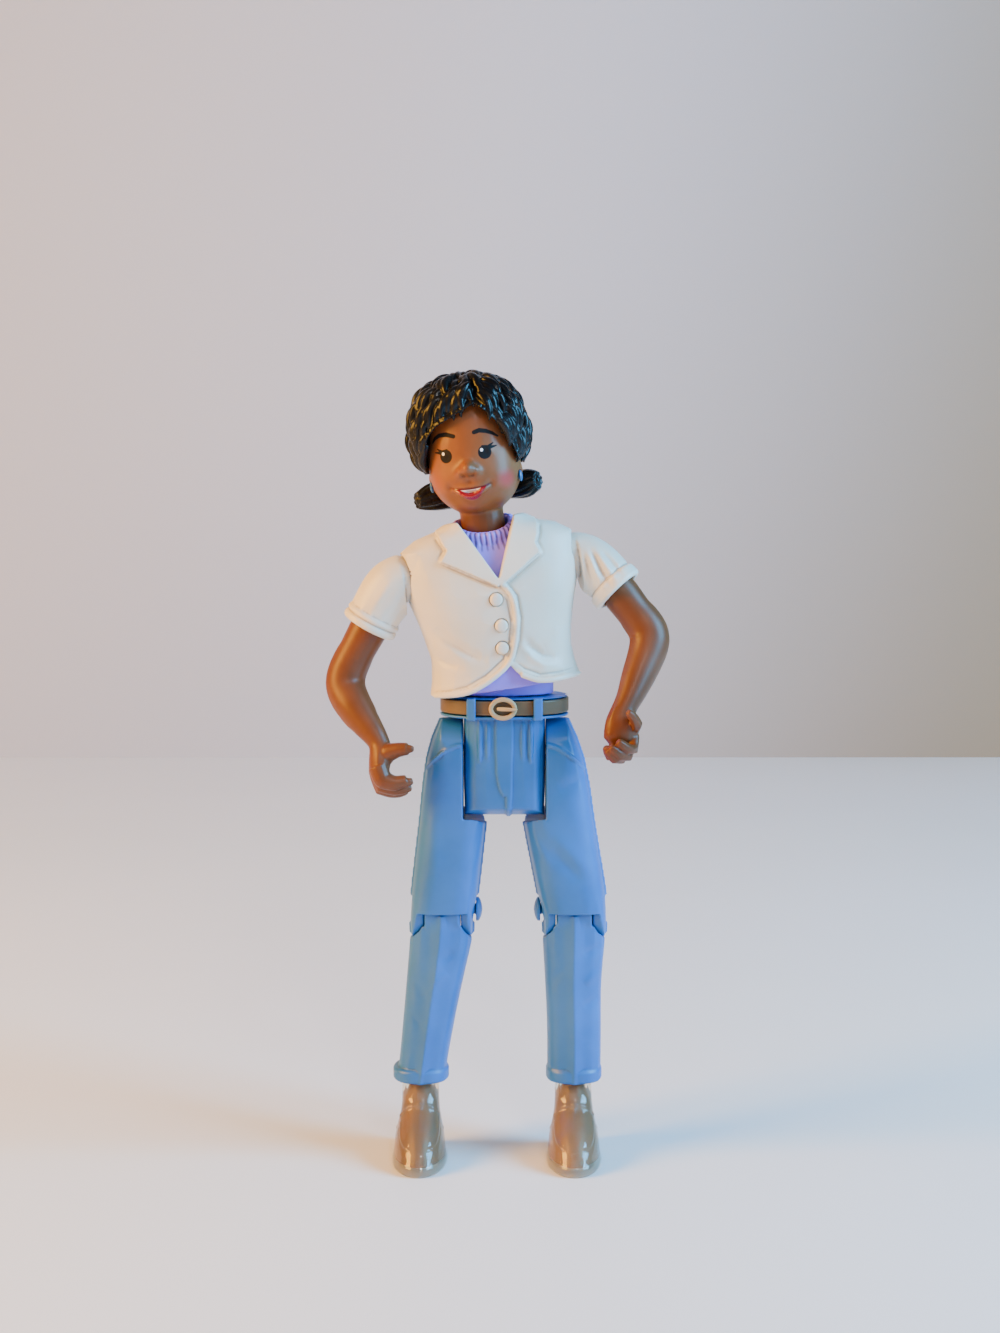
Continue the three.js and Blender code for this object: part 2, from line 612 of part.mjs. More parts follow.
// Head with its neck, features and ears
function headBlank({ grow = 0, rows = 13, sides = 26, forms = [] } = {}) {
  const centre = new THREE.Vector3(0, 0, FACE_CENTRE);
  const rings = [];
  for (let r = 1; r < rows; r += 1) {
    const tilt = -Math.PI / 2 + (r / rows) * Math.PI;
    const rise = Math.sin(tilt);
    const power = rise > 0 ? 2.5 : 2.1;
    const level = (1 - Math.abs(rise) ** power) ** (1 / power);
    rings.push(ring({
      z: FACE_CENTRE + rise * ((rise > 0 ? SKULL_RISE : CHIN_DROP) + grow),
      wide: level * (FACE_WIDE + grow),
      front: level * (FACE_FRONT + grow),
      back: level * (SKULL_BACK + grow),
      power: 2.1,
      sides,
    }));
  }
  rings.flat().forEach((point) => {
    const push = forms.reduce((sum, { at, reach, height }) => {
      const away = new THREE.Vector3(...at).distanceTo(point) / reach;
      return sum + height * Math.exp(-away * away);
    }, 0);
    point.addScaledVector(point.clone().sub(centre).normalize(), push);
  });
  return loft(rings,
    new THREE.Vector3(0, 0, FACE_CENTRE - CHIN_DROP - grow),
    new THREE.Vector3(0, 0, FACE_CENTRE + SKULL_RISE + grow));
}

// The head as its hair sees it
function headRoom() {
  return headBlank({ grow: CLEARANCE + 0.3, rows: 9, sides: 18 });
}

const EARRING_AT = [8.35, -1.3, 36.9];
// Centre line of each lip: height beside the middle, in the middle, and its radius
const LIPS = [[36, 35.95, 0.34], [35.05, 34.45, 0.46]];

function head() {
  const neck = join(
    barZ(NECK_RADIUS, NECK_FLANGE_LOW + 0.2, FACE_CENTRE - CHIN_DROP + 2.3, 0, 0, 20),
    barZ(NECK_FLANGE, NECK_FLANGE_LOW, NECK_FLANGE_HIGH, 0, 0, 20));
  const nose = [
    ball([0, -9, 39.7], [1.45, 1.75, 1.4], 10, 8),
    ball([-1.4, -8.7, 39.15], [0.9, 1.1, 0.8], 8, 6),
    ball([1.4, -8.7, 39.15], [0.9, 1.1, 0.8], 8, 6),
  ];
  const lips = LIPS.map(([beside, centre, radius]) => limb([
    [-3.45, -7.85, 36.35, radius], [-1.8, -8.7, beside, radius], [0, -9, centre, radius],
    [1.8, -8.7, beside, radius], [3.45, -7.85, 36.35, radius],
  ], { sides: 6, steps: 1 }));
  const eyes = [-1, 1].map((side) => ball([side * EYE_X, -7.35, EYE_Z], [1.2, 0.75, 1.3], 8, 6));
  const ears = [-1, 1].map((side) => ball([side * 7.9, -0.6, 38.2], [1.05, 1.5, 1.9], 8, 6));
  const studs = [-1, 1].map((side) => ball(
    [side * EARRING_AT[0], EARRING_AT[1], EARRING_AT[2]], Array(3).fill(EARRING + CLEARANCE), 8, 6));
  const solid = join(headBlank({ forms: FACE_FORMS }), neck, ...nose, ...lips, ...eyes, ...ears);
  return cut(solid, ...studs);
}

// Hair: rows of locks rise on the outer skin, like short waves that overlap
function hairSkin(grow = 0, proud = LOCK_PROUD) {
  const rows = 16;
  const sides = 32;
  const rings = [];
  for (let r = 1; r < rows; r += 1) {
    const tilt = -Math.PI / 2 + (r / rows) * Math.PI;
    const rise = Math.sin(tilt);
    const level = (1 - Math.abs(rise) ** 2.25) ** (1 / 2.25);
    const points = ring({
      x: HAIR_SHIFT,
      z: HAIR_CENTRE + rise * ((rise > 0 ? HAIR_RISE : HAIR_DROP) + grow),
      wide: level * (HAIR_WIDE + grow),
      front: level * (HAIR_FRONT + grow),
      back: level * (HAIR_BACK + grow),
      power: 2.15,
      sides,
    });
    const centre = new THREE.Vector3(0, 0, HAIR_CENTRE);
    points.forEach((point, i) => {
      const row = Math.floor(r / 2);
      const lock = Math.cos(((i + row * 2) / 4) * Math.PI * 2) * (r % 2 === 0 ? 1 : -0.35);
      point.addScaledVector(point.clone().sub(centre).normalize(), proud * (lock + 0.35));
    });
    rings.push(points);
  }
  return loft(rings);
}

// The face window in the hair, from the peak of the hairline to the temples
const HAIRLINE = [
  [-8.5, 39.9], [-7.9, 43.4], [-6.9, 46], [-4.8, 47.9], [-1.6, 49.3], [2.6, 51.2],
  [4.6, 49.4], [6.4, 47], [7.7, 44.6], [8.4, 42.2], [8.8, 39.9],
];

function hairCap() {
  const window = slabThroughY([...HAIRLINE, [14, 39.9], [14, 26], [-14, 26], [-14, 39.9]], -20, -1.2);
  const below = block([-20, -20, 20], [20, 2.6, 39.9]);
  const nape = block([-20, 0, 20], [20, 20, NAPE]);
  return cut(hairSkin(), headRoom(), window, below, nape);
}

// Rolled hair at the nape, ribbed like combed strands, flipped out on both sides
const ROLL = [
  [-12.3, 3.4, 34.6, 1.6, 1.2], [-10.8, 4.7, 34.9, 2.7, 2.1], [-8, 6.4, 34.9, 3.1, 2.5],
  [-4, 8, 34.9, 2.7, 2.3], [0, 8.6, 35, 2.5, 2.2], [4, 8, 35.1, 2.7, 2.3], [7.4, 6.6, 35, 3, 2.4],
  [9.7, 5.2, 35.2, 2.6, 2],
  [10.7, 4.5, 35.4, 1.7, 1.3],
];

function hairRoll() {
  const sides = 14;
  const roll = limb(ROLL, { sides, steps: 1 });
  const position = roll.attributes.position;
  const ringCount = Math.floor(position.count / sides);
  for (let r = 0; r < ringCount; r += 1) {
    const points = Array.from({ length: sides }, (_, k) => (
      new THREE.Vector3().fromBufferAttribute(position, r * sides + k)));
    const centre = points.reduce((sum, p) => sum.clone().add(p), new THREE.Vector3()).divideScalar(sides);
    points.forEach((point, k) => {
      const strand = k % 2 === 0 ? 1.05 : 0.92;
      point.sub(centre).multiplyScalar(strand).add(centre);
      position.setXYZ(r * sides + k, point.x, point.y, point.z);
    });
  }
  const cap = common(hairSkin(CLEARANCE + 0.1), block([-20, -20, NAPE - CLEARANCE], [20, 20, 60]));
  return cut(roll, headRoom(), cap, barZ(NECK_RADIUS + 0.6, 20, 40, 0, 0, 20));
}

// Waist plug: a spigot with a flange turns in the pelvis, the drum fills the waist, the tongue takes the pin
function waistPlug() {
  const drum = loft([
    ring({ z: BAND_TOP + CLEARANCE, wide: PLUG_WIDE, front: PLUG_DEEP, power: 2.6 }),
    ring({ z: PLUG_TOP - 0.3, wide: PLUG_WIDE, front: PLUG_DEEP, power: 2.6 }),
    ring({ z: PLUG_TOP, wide: PLUG_WIDE - 0.3, front: PLUG_DEEP - 0.3, power: 2.6 }),
  ]);
  const tongue = barY(TONGUE_RADIUS, -3, 3, 0, WAIST_Z);
  const solid = join(drum, tongue,
    barZ(PLUG_SPIGOT, PLUG_SPIGOT_LOW, BAND_TOP + 1),
    barZ(PLUG_FLANGE, PLUG_SPIGOT_LOW, PLUG_SPIGOT_LOW + PLUG_FLANGE_TALL));
  return cut(solid, barY(WAIST_PIN + CLEARANCE, -12, 12, 0, WAIST_Z, 16));
}

function waistPin() {
  return barY(WAIST_PIN, -WAIST_PIN_FRONT, WAIST_PIN_BACK, 0, 0, 14);
}

// Belt: an oval band in the groove of the waistband
function beltBand(grow = 0) {
  const wide = BAND_WIDE + 0.2 + grow;
  const deep = BAND_DEEP + 0.2 + grow;
  const level = (z, w, d) => ring({ z, wide: w, front: d, power: 2.3 });
  const outer = loft([level(BELT_LOW - grow, wide, deep), level(BELT_HIGH + grow, wide, deep)]);
  const inside = BELT_THICK + 2 * grow;
  return cut(outer, loft([level(BELT_LOW - 3, wide - inside, deep - inside),
    level(BELT_HIGH + 3, wide - inside, deep - inside)]));
}

function pelvis() {
  const level = (z, wide, front, back) => ring({ z, wide, front, back, power: 4.5, sides: 28 });
  const trunk = loft([
    level(64, PELVIS_WIDE, PELVIS_FRONT, PELVIS_BACK),
    level(BAND_BOTTOM + 0.4, PELVIS_WIDE, PELVIS_FRONT, PELVIS_BACK),
  ]);
  const seat = join(barX(PELVIS_ROUND, -FAR, FAR, 0, HIP_Z, 48),
    block([-FAR, -FAR, HIP_Z], [FAR, FAR, 2 * FAR]));
  const band = loft([BAND_BOTTOM, BAND_TOP].map((z) => ring({
    z, wide: BAND_WIDE, front: BAND_DEEP, power: 2.3,
  })));
  const loops = [-1, 1].map((side) => block(
    [side * LOOP_X - LOOP_WIDE / 2, -BAND_DEEP - 0.5, BELT_LOW - 0.9],
    [side * LOOP_X + LOOP_WIDE / 2, -PELVIS_FRONT + 1, BELT_HIGH + 0.5]));
  const loopFace = loft([80, 92].map((z) => ring({
    z, wide: BAND_WIDE + 1.1, front: BAND_DEEP + 1.1, power: 2.3,
  })));
  const groove = beltBand(CLEARANCE);
  const body = common(trunk, seat);
  const onFace = loops.map((loop) => common(loop, loopFace));
  return join(cut(join(body, band, ...onFace), groove), ...flyParts(seat));
}

// Fly flap with its pointed end, the centre welt below it and the pleats beside it
function flyParts(seat) {
  const skinOut = loft([60, BAND_BOTTOM].map((z) => ring({
    z, wide: PELVIS_WIDE + FLY_PROUD, front: PELVIS_FRONT + FLY_PROUD, back: 1, power: 4.5, sides: 28,
  })));
  const rounded = join(barX(PELVIS_ROUND + FLY_PROUD, -FAR, FAR, 0, HIP_Z, 48),
    block([-FAR, -FAR, HIP_Z], [FAR, FAR, 2 * FAR]));
  const flap = slabThroughY([
    [-1.6, BAND_BOTTOM], [-1.6, 73], [-0.2, 70.8], [0.8, 70.8], [0.8, BAND_BOTTOM],
  ], -12, -4);
  const welt = slabThroughY([[0.15, BAND_BOTTOM], [0.4, 65], [1.1, 65], [1.55, BAND_BOTTOM]], -12, 0);
  const flat = [flap, welt].map((slab) => common(common(slab, skinOut), rounded));
  const pleats = [-4.6, -3.1, 3.4, 4.9].map((x) => (
    ball([x, -PELVIS_FRONT + 0.15, BAND_BOTTOM - PLEAT], [0.5, 0.5, PLEAT], 6, 7)));
  return [...flat, ...pleats];
}

function pelvisBores() {
  const low = PLUG_SPIGOT_LOW - CLEARANCE;
  return join(
    barZ(PLUG_SPIGOT + CLEARANCE, low, BAND_TOP + 2),
    barZ(PLUG_FLANGE + CLEARANCE, low, PLUG_SPIGOT_LOW + PLUG_FLANGE_TALL + CLEARANCE),
  );
}

// Oval buckle frame in front of the belt, and its prong
const BUCKLE_X = -0.3;
const BUCKLE_Z = 87.35;

function buckle() {
  const outline = new THREE.Shape().absellipse(0, 0, BUCKLE_WIDE, BUCKLE_TALL, 0, Math.PI * 2);
  outline.holes.push(new THREE.Path().absellipse(0, 0, BUCKLE_WIDE - 2 * BUCKLE_BAR,
    BUCKLE_TALL - 2 * BUCKLE_BAR, 0, Math.PI * 2));
  return new THREE.ExtrudeGeometry(outline, {
    depth: 0.4, bevelThickness: 0.2, bevelSize: 0.2, bevelOffset: -0.2, bevelSegments: 1, curveSegments: 6,
  }).rotateX(Math.PI / 2).translate(BUCKLE_X, -BAND_DEEP - 0.5, BUCKLE_Z);
}

function prong() {
  return limb([
    [BUCKLE_X - 0.9, -9, BUCKLE_Z, 0.42, 0.3], [BUCKLE_X + 0.4, -9.45, BUCKLE_Z, 0.4, 0.3],
    [BUCKLE_X + 1.5, -9.95, BUCKLE_Z, 0.34, 0.26], [BUCKLE_X + 2.5, -9.95, BUCKLE_Z, 0.22, 0.22],
  ], { sides: 8, steps: 1 });
}

// Legs: outer and inner edges of each leg at its heights, measured outward from the middle of the doll
const LEGS = {
  right: {
    side: -1,
    thigh: [[87, 10.6, 3.2], [84, 12.1, 3.2], [81, 13.4, 3.2], [77, 14.5, 3.2], [72, 15.2, 3.2],
      [65, 15.9, 3.6], [51.5, 17.5, 5.1], [46, 17.9, 6], [41, 17.5, 6.3]],
    shin: [[48, 17.6, 6.1], [41.4, 18.1, 6.2], [33.3, 18.8, 8.1], [25.3, 19.5, 9.7], [18, 20.2, 11],
      [CUFF_LOW, 20.9, 11.1]],
    footX: 16.1,
  },
  left: {
    side: 1,
    thigh: [[87, 10.6, 3.2], [84, 12, 3.2], [81, 13.4, 3.2], [77, 14.8, 3.2], [72, 15.8, 3.3],
      [65, 16.8, 3.7], [51.5, 19.1, 6.3], [46, 19.4, 7.5], [41, 19, 7.7]],
    shin: [[48, 19.1, 7.4], [41.4, 19.2, 7.3], [33.3, 18.4, 7.8], [25.3, 18.6, 8.2], [18, 18.5, 8.2],
      [CUFF_LOW, 18.5, 8.2]],
    footX: 13.2,
  },
};

function kneeCentre(leg) {
  return leg.side * (between(leg.thigh, KNEE_Z, 1) + between(leg.thigh, KNEE_Z, 2)) / 2;
}

function legSkin(leg, grow, depth) {
  return loft(leg.thigh.map(([z, outer, inner]) => ring({
    x: leg.side * (outer + inner) / 2,
    z,
    wide: (outer - inner) / 2 + grow,
    front: depth ?? THIGH_FRONT - (z < 46 ? 0.9 : 0),
    back: depth ?? THIGH_BACK - (z < 46 ? 1.2 : 0),
    power: depth ? 8 : 3.4,
    sides: depth ? 8 : 22,
  })));
}

// Side view of the thigh: round top about the hip, the hems, and below them only the cheeks
function thighProfile() {
  const shape = new THREE.Shape();
  shape.moveTo(-THIGH_FRONT, HIP_Z);
  shape.absarc(0, HIP_Z, HIP_ROUND, Math.PI, 0, true);
  shape.lineTo(THIGH_BACK, 70);
  shape.lineTo(THIGH_BACK - 0.4, BACK_HEM);
  shape.lineTo(2.6, BACK_HEM);
  shape.lineTo(2.6, KNEE_Z + 2);
  shape.lineTo(0, KNEE_Z);
  shape.lineTo(-KNEE_CHEEK + 0.5, FRONT_HEM);
  shape.lineTo(-THIGH_FRONT, FRONT_HEM);
  shape.closePath();
  return shape;
}

// Coned round about the knee pin: each half is wider at the outside of the leg
function kneeCones(centre, grow) {
  return [-1, 1].map((way) => {
    const profile = [
      [0, TONGUE_WIDE], [KNEE_CHEEK_IN + grow, TONGUE_WIDE], [KNEE_CHEEK + grow, 6],
      [KNEE_CHEEK + grow, 9], [0, 9],
    ];
    return new THREE.LatheGeometry(profile.map(([r, h]) => new THREE.Vector2(r, h)), 24)
      .rotateZ(-way * Math.PI / 2).translate(centre, 0, KNEE_Z);
  });
}

function thigh(leg) {
  const { side } = leg;
  const knee = kneeCentre(leg);
  const strip = cut(legSkin(leg, SEAM_STRIP, SEAM_STRIP_WIDE), block([-FAR, -9, 30], [FAR, 9, 43.2]),
    block([-FAR, -9, 45.2], [FAR, 9, 50.6]));
  const outline = join(slabThroughX(thighProfile(), -FAR, FAR), ...kneeCones(knee, 0));
  const blank = common(join(legSkin(leg, 0), strip), outline);
  const clear = PELVIS_WIDE + HIP_SIDE_GAP;
  const pelvisRoom = barX(CROTCH_ROUND, -clear, clear, 0, HIP_Z, 40);
  const slot = barX(TONGUE_ROUND + CLEARANCE, knee - TONGUE_WIDE - CLEARANCE, knee + TONGUE_WIDE + CLEARANCE,
    0, KNEE_Z, 24);
  const pocket = cord([
    new THREE.Vector3(side * between(leg.thigh, 75.4, 1), -THIGH_FRONT + 3.2, 75.4),
    new THREE.Vector3(side * 13, -THIGH_FRONT + 0.35, 77.6),
    new THREE.Vector3(side * 10.4, -THIGH_FRONT + 0.1, 79.5),
    new THREE.Vector3(side * (clear + 0.2), -THIGH_FRONT + 0.1, 80.3),
  ], 0.3, { steps: 6 });
  return cut(join(blank, pocket), pelvisRoom, slot,
    barX(HIP_AXLE + CLEARANCE, -HIP_AXLE_END - AXLE_PLAY, HIP_AXLE_END + AXLE_PLAY, 0, HIP_Z, 16),
    kneePin(leg, CLEARANCE));
}

// Knee pin: a shaft through both cheeks, with a domed head on the inner side of the knee
function kneePin(leg, grow = 0) {
  const { side } = leg;
  const inner = between(leg.thigh, KNEE_Z, 2);
  const outer = between(leg.thigh, KNEE_Z, 1);
  const radius = KNEE_PIN + grow;
  const head = PIN_HEAD + grow;
  const seat = inner - CLEARANCE;
  const profile = [
    [0, outer - 1.2 + grow], [radius, outer - 1.2 + grow], [radius, seat + grow], [head, seat + grow],
    [head, seat - 0.5], [head * 0.7, seat - PIN_HEAD_TALL + 0.35], [0, seat - PIN_HEAD_TALL],
  ];
  return facingOut(mergeVertices(stripped(new THREE.LatheGeometry(
    profile.map(([r, h]) => new THREE.Vector2(r, h)), 16)), 1e-4))
    .rotateZ(-side * Math.PI / 2).translate(0, 0, KNEE_Z);
}

function stripped(geometry) {
  geometry.deleteAttribute('normal');
  geometry.deleteAttribute('uv');
  return geometry;
}

const CREASE = 0.9; // how far the pressed crease stands out down the front of the shin

// Shin: trouser leg with a front crease, a tongue that turns in the knee and a turned-up cuff
function shin(leg) {
  const { side } = leg;
  const knee = kneeCentre(leg);
  const rows = leg.shin.map(([z, outer, inner]) => {
    const points = ring({
      x: side * (outer + inner) / 2,
      z,
      wide: (outer - inner) / 2,
      front: 4.5 + (z - CUFF_LOW) * 0.01,
      back: 4.6 + (z - CUFF_LOW) * 0.01,
      power: 2.7,
      sides: 20,
    });
    points[15].y -= CREASE;
    return points;
  });
  const trouser = loft(rows);
  const low = leg.shin.at(-1);
  const middle = side * (low[1] + low[2]) / 2;
  const cuff = loft([[CUFF_LOW, -0.35], [CUFF_LOW + 0.4, 0], [CUFF_HIGH - 0.4, 0], [CUFF_HIGH, -0.35]].map(
    ([z, grow]) => ring({
      x: middle, z, wide: CUFF_WIDE + grow, front: CUFF_DEEP + grow, power: 2.5, sides: 20,
    })));
  const upTo = block([knee - 20, -8, 0], [knee + 20, 8, FRONT_HEM - CLEARANCE]);
  const rear = block([knee - 20, 0.6, KNEE_Z - KNEE_CHEEK - 0.2], [knee + 20, 12, 60]);
  const shoulders = cut(common(trouser, upTo), rear, ...kneeCones(knee, CLEARANCE));
  const tongue = barX(TONGUE_ROUND, knee - TONGUE_WIDE, knee + TONGUE_WIDE, 0, KNEE_Z, 24);
  const solid = join(shoulders, tongue, cuff);
  const footX = side * leg.footX;
  return cut(solid,
    barX(KNEE_PIN + CLEARANCE, -FAR, FAR, 0, KNEE_Z, 16),
    barZ(SHOE_ANKLE + CLEARANCE, 10, SHOE_TOP + CLEARANCE, footX, 0, 20),
    barZ(ANKLE_PEG + CLEARANCE, 10, ANKLE_PEG_TOP + CLEARANCE, footX, 0, 16));
}

// Shoe outlines, level by level: height, middle, half width, length in front, length behind
const SHOE = [
  [0, -5, 4.8, 9.9, 9.6], [0.4, -5, 5.15, 10.2, 10], [1.6, -5, 5.15, 10.2, 10], [2, -5, 4.85, 9.8, 9.7],
  [4.2, -4.9, 4.7, 8.9, 9.5], [6.4, -4.3, 4.35, 7.2, 8.8], [9, -2.2, 3.85, 5.2, 6.4],
  [11.6, -0.6, 3.6, 3.9, 4.5], [SHOE_TOP, 0, SHOE_ANKLE, SHOE_ANKLE, SHOE_ANKLE],
];

function shoeSkin(x, inset, stations = SHOE) {
  return loft(stations.map(([z, y, wide, front, back]) => {
    const points = ring({
      x, y, z, wide: wide - inset, front: front - inset, back: back - inset, power: 2.2, sides: 16,
    });
    const narrowing = z < 8 ? 0.16 : 0.16 * Math.max(0, (SHOE_TOP - z) / SHOE_TOP);
    points.forEach((point) => {
      const behind = Math.max(0, (point.y - y) / back);
      point.x = x + (point.x - x) * (1 - narrowing * behind);
    });
    return points;
  }));
}

function shoeInside(x, inset, floor) {
  const stations = SHOE.filter(([z]) => z > floor);
  const [, y, wide, front, back] = SHOE[2];
  return shoeSkin(x, inset, [[floor, y, wide - 0.3, front - 0.3, back - 0.3], ...stations]);
}

function shoeShell(x) {
  const knot = ball([x, -5.4, 8.35], [0.75, 0.7, 0.6], 8, 6);
  const strap = [[-4.2, -4.2, 6.1], [-2.6, -5, 7.6], [0, -5.4, 8.1], [2.6, -5, 7.6], [4.2, -4.2, 6.1]];
  const band = limb(strap.map(([side, y, z]) => [x + side, y, z, 0.5, 0.35]), { sides: 6, steps: 1 });
  const top = block([x - 9, -12, SHOE_TOP - 0.1], [x + 9, 12, SHOE_TOP + 3]);
  return cut(join(shoeSkin(x, 0), knot, band), shoeInside(x, SHOE_WALL, SHOE[2][0] - 0.4),
    barZ(SHOE_ANKLE - SHOE_WALL, 11, SHOE_TOP + 2, x, 0, 20), top);
}

function footCore(x) {
  const peg = barZ(ANKLE_PEG, 10, ANKLE_PEG_TOP, x, 0, 20);
  return join(shoeInside(x, SHOE_WALL + CLEARANCE, SHOE[2][0] - 0.4 + CLEARANCE), peg);
}

// Assembly
const doll = new THREE.Group();

// Pelvis, belt and hip axle
const pelvisSolid = cut(pelvis(), pelvisBores(), barX(HIP_AXLE + CLEARANCE, -FAR, FAR, 0, HIP_Z, 16));
doll.add(named('pelvis_front', common(pelvisSolid, frontHalf()), trouserBlue));
doll.add(named('pelvis_back', common(pelvisSolid, backHalf()), trouserBlue));
doll.add(named('belt', beltBand(), beltTan));
doll.add(named('belt_buckle', buckle(), buckleTan));
doll.add(named('belt_prong', prong(), buckleTan));
doll.add(named('hip_axle', barX(HIP_AXLE, -HIP_AXLE_END, HIP_AXLE_END, 0, HIP_Z, 16), steel));

// Waist: the plug turns in the pelvis, the torso rocks on the plug, the head turns in the torso
const waist = new THREE.Group();
waist.position.z = WAIST_Z;
waist.rotation.z = degrees(WAIST_TURN);
doll.add(waist);
waist.add(named('waist_plug', waistPlug().translate(0, 0, -WAIST_Z), lilac));
waist.add(named('waist_pin', waistPin(), steel));

const torso = new THREE.Group();
torso.rotation.y = -degrees(WAIST_ROCK);
waist.add(torso);
const core = torsoCore();
torso.add(named('torso_front', common(core, frontHalf()), lilac));
torso.add(named('torso_back', common(core, backHalf()), lilac));
torso.add(named('vest_front', vestFront(), offWhite));
torso.add(named('vest_back', vestBack(), offWhite));
BUTTONS.forEach(([z, x], i) => torso.add(named(`vest_button_${i + 1}`, button(z, x), offWhite)));
torso.add(named('shoulder_axle',
  barX(SHOULDER_AXLE, -SHOULDER_AXLE_END, SHOULDER_AXLE_END, 0, SHOULDER_W, 12), steel));
torso.add(named('sleeve_right', sleeve(RIGHT_SLEEVE, RIGHT_ARM, -1), offWhite));
torso.add(named('sleeve_left', sleeve(LEFT_SLEEVE, LEFT_ARM, 1), offWhite));
torso.add(named('arm_right', arm(RIGHT_ARM, RIGHT_FINGERS), skin));
torso.add(named('arm_left', arm(LEFT_ARM, LEFT_FINGERS), skin));

const headGroup = new THREE.Group();
headGroup.rotation.z = degrees(NECK_TURN);
torso.add(headGroup);
headGroup.add(named('head', head(), skin));
headGroup.add(named('hair_cap', hairCap(), hairBlack));
headGroup.add(named('hair_roll', hairRoll(), hairBlack));
[['right', -1], ['left', 1]].forEach(([name, side]) => headGroup.add(named(`earring_${name}`,
  ball([side * EARRING_AT[0], EARRING_AT[1], EARRING_AT[2]], Array(3).fill(EARRING), 8, 6), studBlue)));

// Legs
Object.entries(LEGS).forEach(([name, leg]) => {
  const solid = thigh(leg);
  doll.add(named(`thigh_front_${name}`, common(solid, frontHalf()), trouserBlue));
  doll.add(named(`thigh_back_${name}`, common(solid, backHalf()), trouserBlue));
  doll.add(named(`knee_pin_${name}`, kneePin(leg), trouserBlue));
  doll.add(named(`shin_${name}`, shin(leg), trouserBlue));
  doll.add(named(`foot_core_${name}`, footCore(leg.side * leg.footX), shoeTan));
  doll.add(named(`shoe_shell_${name}`, shoeShell(leg.side * leg.footX), clearAmber));
});

// The origin lies on the floor, under the middle of the doll's box
const box = new THREE.Box3().setFromObject(doll, true);
doll.position.set(-(box.min.x + box.max.x) / 2, -(box.min.y + box.max.y) / 2, -box.min.z);

export default doll;
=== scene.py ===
"""The looks of a jointed dollhouse doll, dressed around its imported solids.

Every moulded piece is a refined copy of its solid, with rounded mould edges. The hair gets its
locks, the nape roll its combed strands, the shoes their straps and seams, and the face its paint.
"""

import json
import math
import random

import bpy
import numpy as np
from mathutils import Matrix, Vector
from mathutils.bvhtree import BVHTree


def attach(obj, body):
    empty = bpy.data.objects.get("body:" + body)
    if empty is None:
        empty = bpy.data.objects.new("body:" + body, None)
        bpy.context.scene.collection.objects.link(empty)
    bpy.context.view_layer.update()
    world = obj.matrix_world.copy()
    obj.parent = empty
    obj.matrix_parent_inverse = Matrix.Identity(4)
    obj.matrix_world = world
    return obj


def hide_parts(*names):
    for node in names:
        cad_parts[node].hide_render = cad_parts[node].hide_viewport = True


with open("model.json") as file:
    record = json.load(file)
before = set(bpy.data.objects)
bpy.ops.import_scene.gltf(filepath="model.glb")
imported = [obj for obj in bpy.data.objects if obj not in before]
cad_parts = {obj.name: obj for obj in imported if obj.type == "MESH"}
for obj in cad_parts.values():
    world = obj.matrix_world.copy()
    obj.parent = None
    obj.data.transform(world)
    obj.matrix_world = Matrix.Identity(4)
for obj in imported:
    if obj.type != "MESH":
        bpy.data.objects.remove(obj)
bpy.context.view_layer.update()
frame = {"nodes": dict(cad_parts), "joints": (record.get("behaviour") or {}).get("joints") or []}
MM = 0.001
HOLLOW_DEEP = 0.05 * MM  # a groove this deep gets the darkest painted shade
MOST_TRIANGLES = 110_000  # of one piece


# Selecting and finishing by hand
def alone(*pieces):
    """Selects these pieces and nothing else."""
    bpy.ops.object.select_all(action="DESELECT")
    for piece in pieces:
        piece.select_set(True)
    bpy.context.view_layer.objects.active = pieces[0]


def finish_with(piece, kind, **settings):
    """Adds one modifier and applies it."""
    modifier = piece.modifiers.new(kind.lower(), kind)
    for name, value in settings.items():
        setattr(modifier, name, value)
    alone(piece)
    bpy.ops.object.modifier_apply(modifier=modifier.name)


def joined(name, *pieces):
    """Makes one mesh of several, under a name of its own."""
    alone(*pieces)
    if len(pieces) > 1:
        bpy.ops.object.join()
    bpy.context.object.name = name
    bpy.context.object.data.name = name
    return bpy.context.object


def smooth_faces(piece):
    alone(piece)
    bpy.ops.object.shade_smooth()
    return piece


def points_of(piece):
    """The corners of a mesh as rows of numbers."""
    flat = np.empty(len(piece.data.vertices) * 3)
    piece.data.vertices.foreach_get("co", flat)
    return flat.reshape(-1, 3)


def set_points(piece, points):
    """Moves the corners of a mesh to new places."""
    piece.data.vertices.foreach_set("co", points.ravel())
    piece.data.update()


def normals_of(piece):
    """The normals at the corners of a mesh."""
    flat = np.empty(len(piece.data.vertices) * 3)
    piece.data.vertices.foreach_get("normal", flat)
    return flat.reshape(-1, 3)


def copy_of(name, node):
    """A merged copy of one solid, with its flat pairs of triangles made four-sided again."""
    piece = bpy.data.objects.new(name, frame["nodes"][node].data.copy())
    bpy.context.scene.collection.objects.link(piece)
    alone(piece)
    bpy.ops.object.mode_set(mode="EDIT")
    bpy.ops.mesh.select_all(action="SELECT")
    bpy.ops.mesh.remove_doubles(threshold=1e-6)
    bpy.ops.mesh.tris_convert_to_quads(face_threshold=0.6, shape_threshold=0.9)
    bpy.ops.object.mode_set(mode="OBJECT")
    return piece


def voxelled(piece, voxel, soften, factor=0.5):
    """Remakes a mesh in even small faces of one size in millimetres, then softens it."""
    finish_with(piece, "REMESH", mode="VOXEL", voxel_size=voxel * MM, use_smooth_shade=True)
    finish_with(piece, "SMOOTH", factor=factor, iterations=soften)
    return smooth_faces(piece)


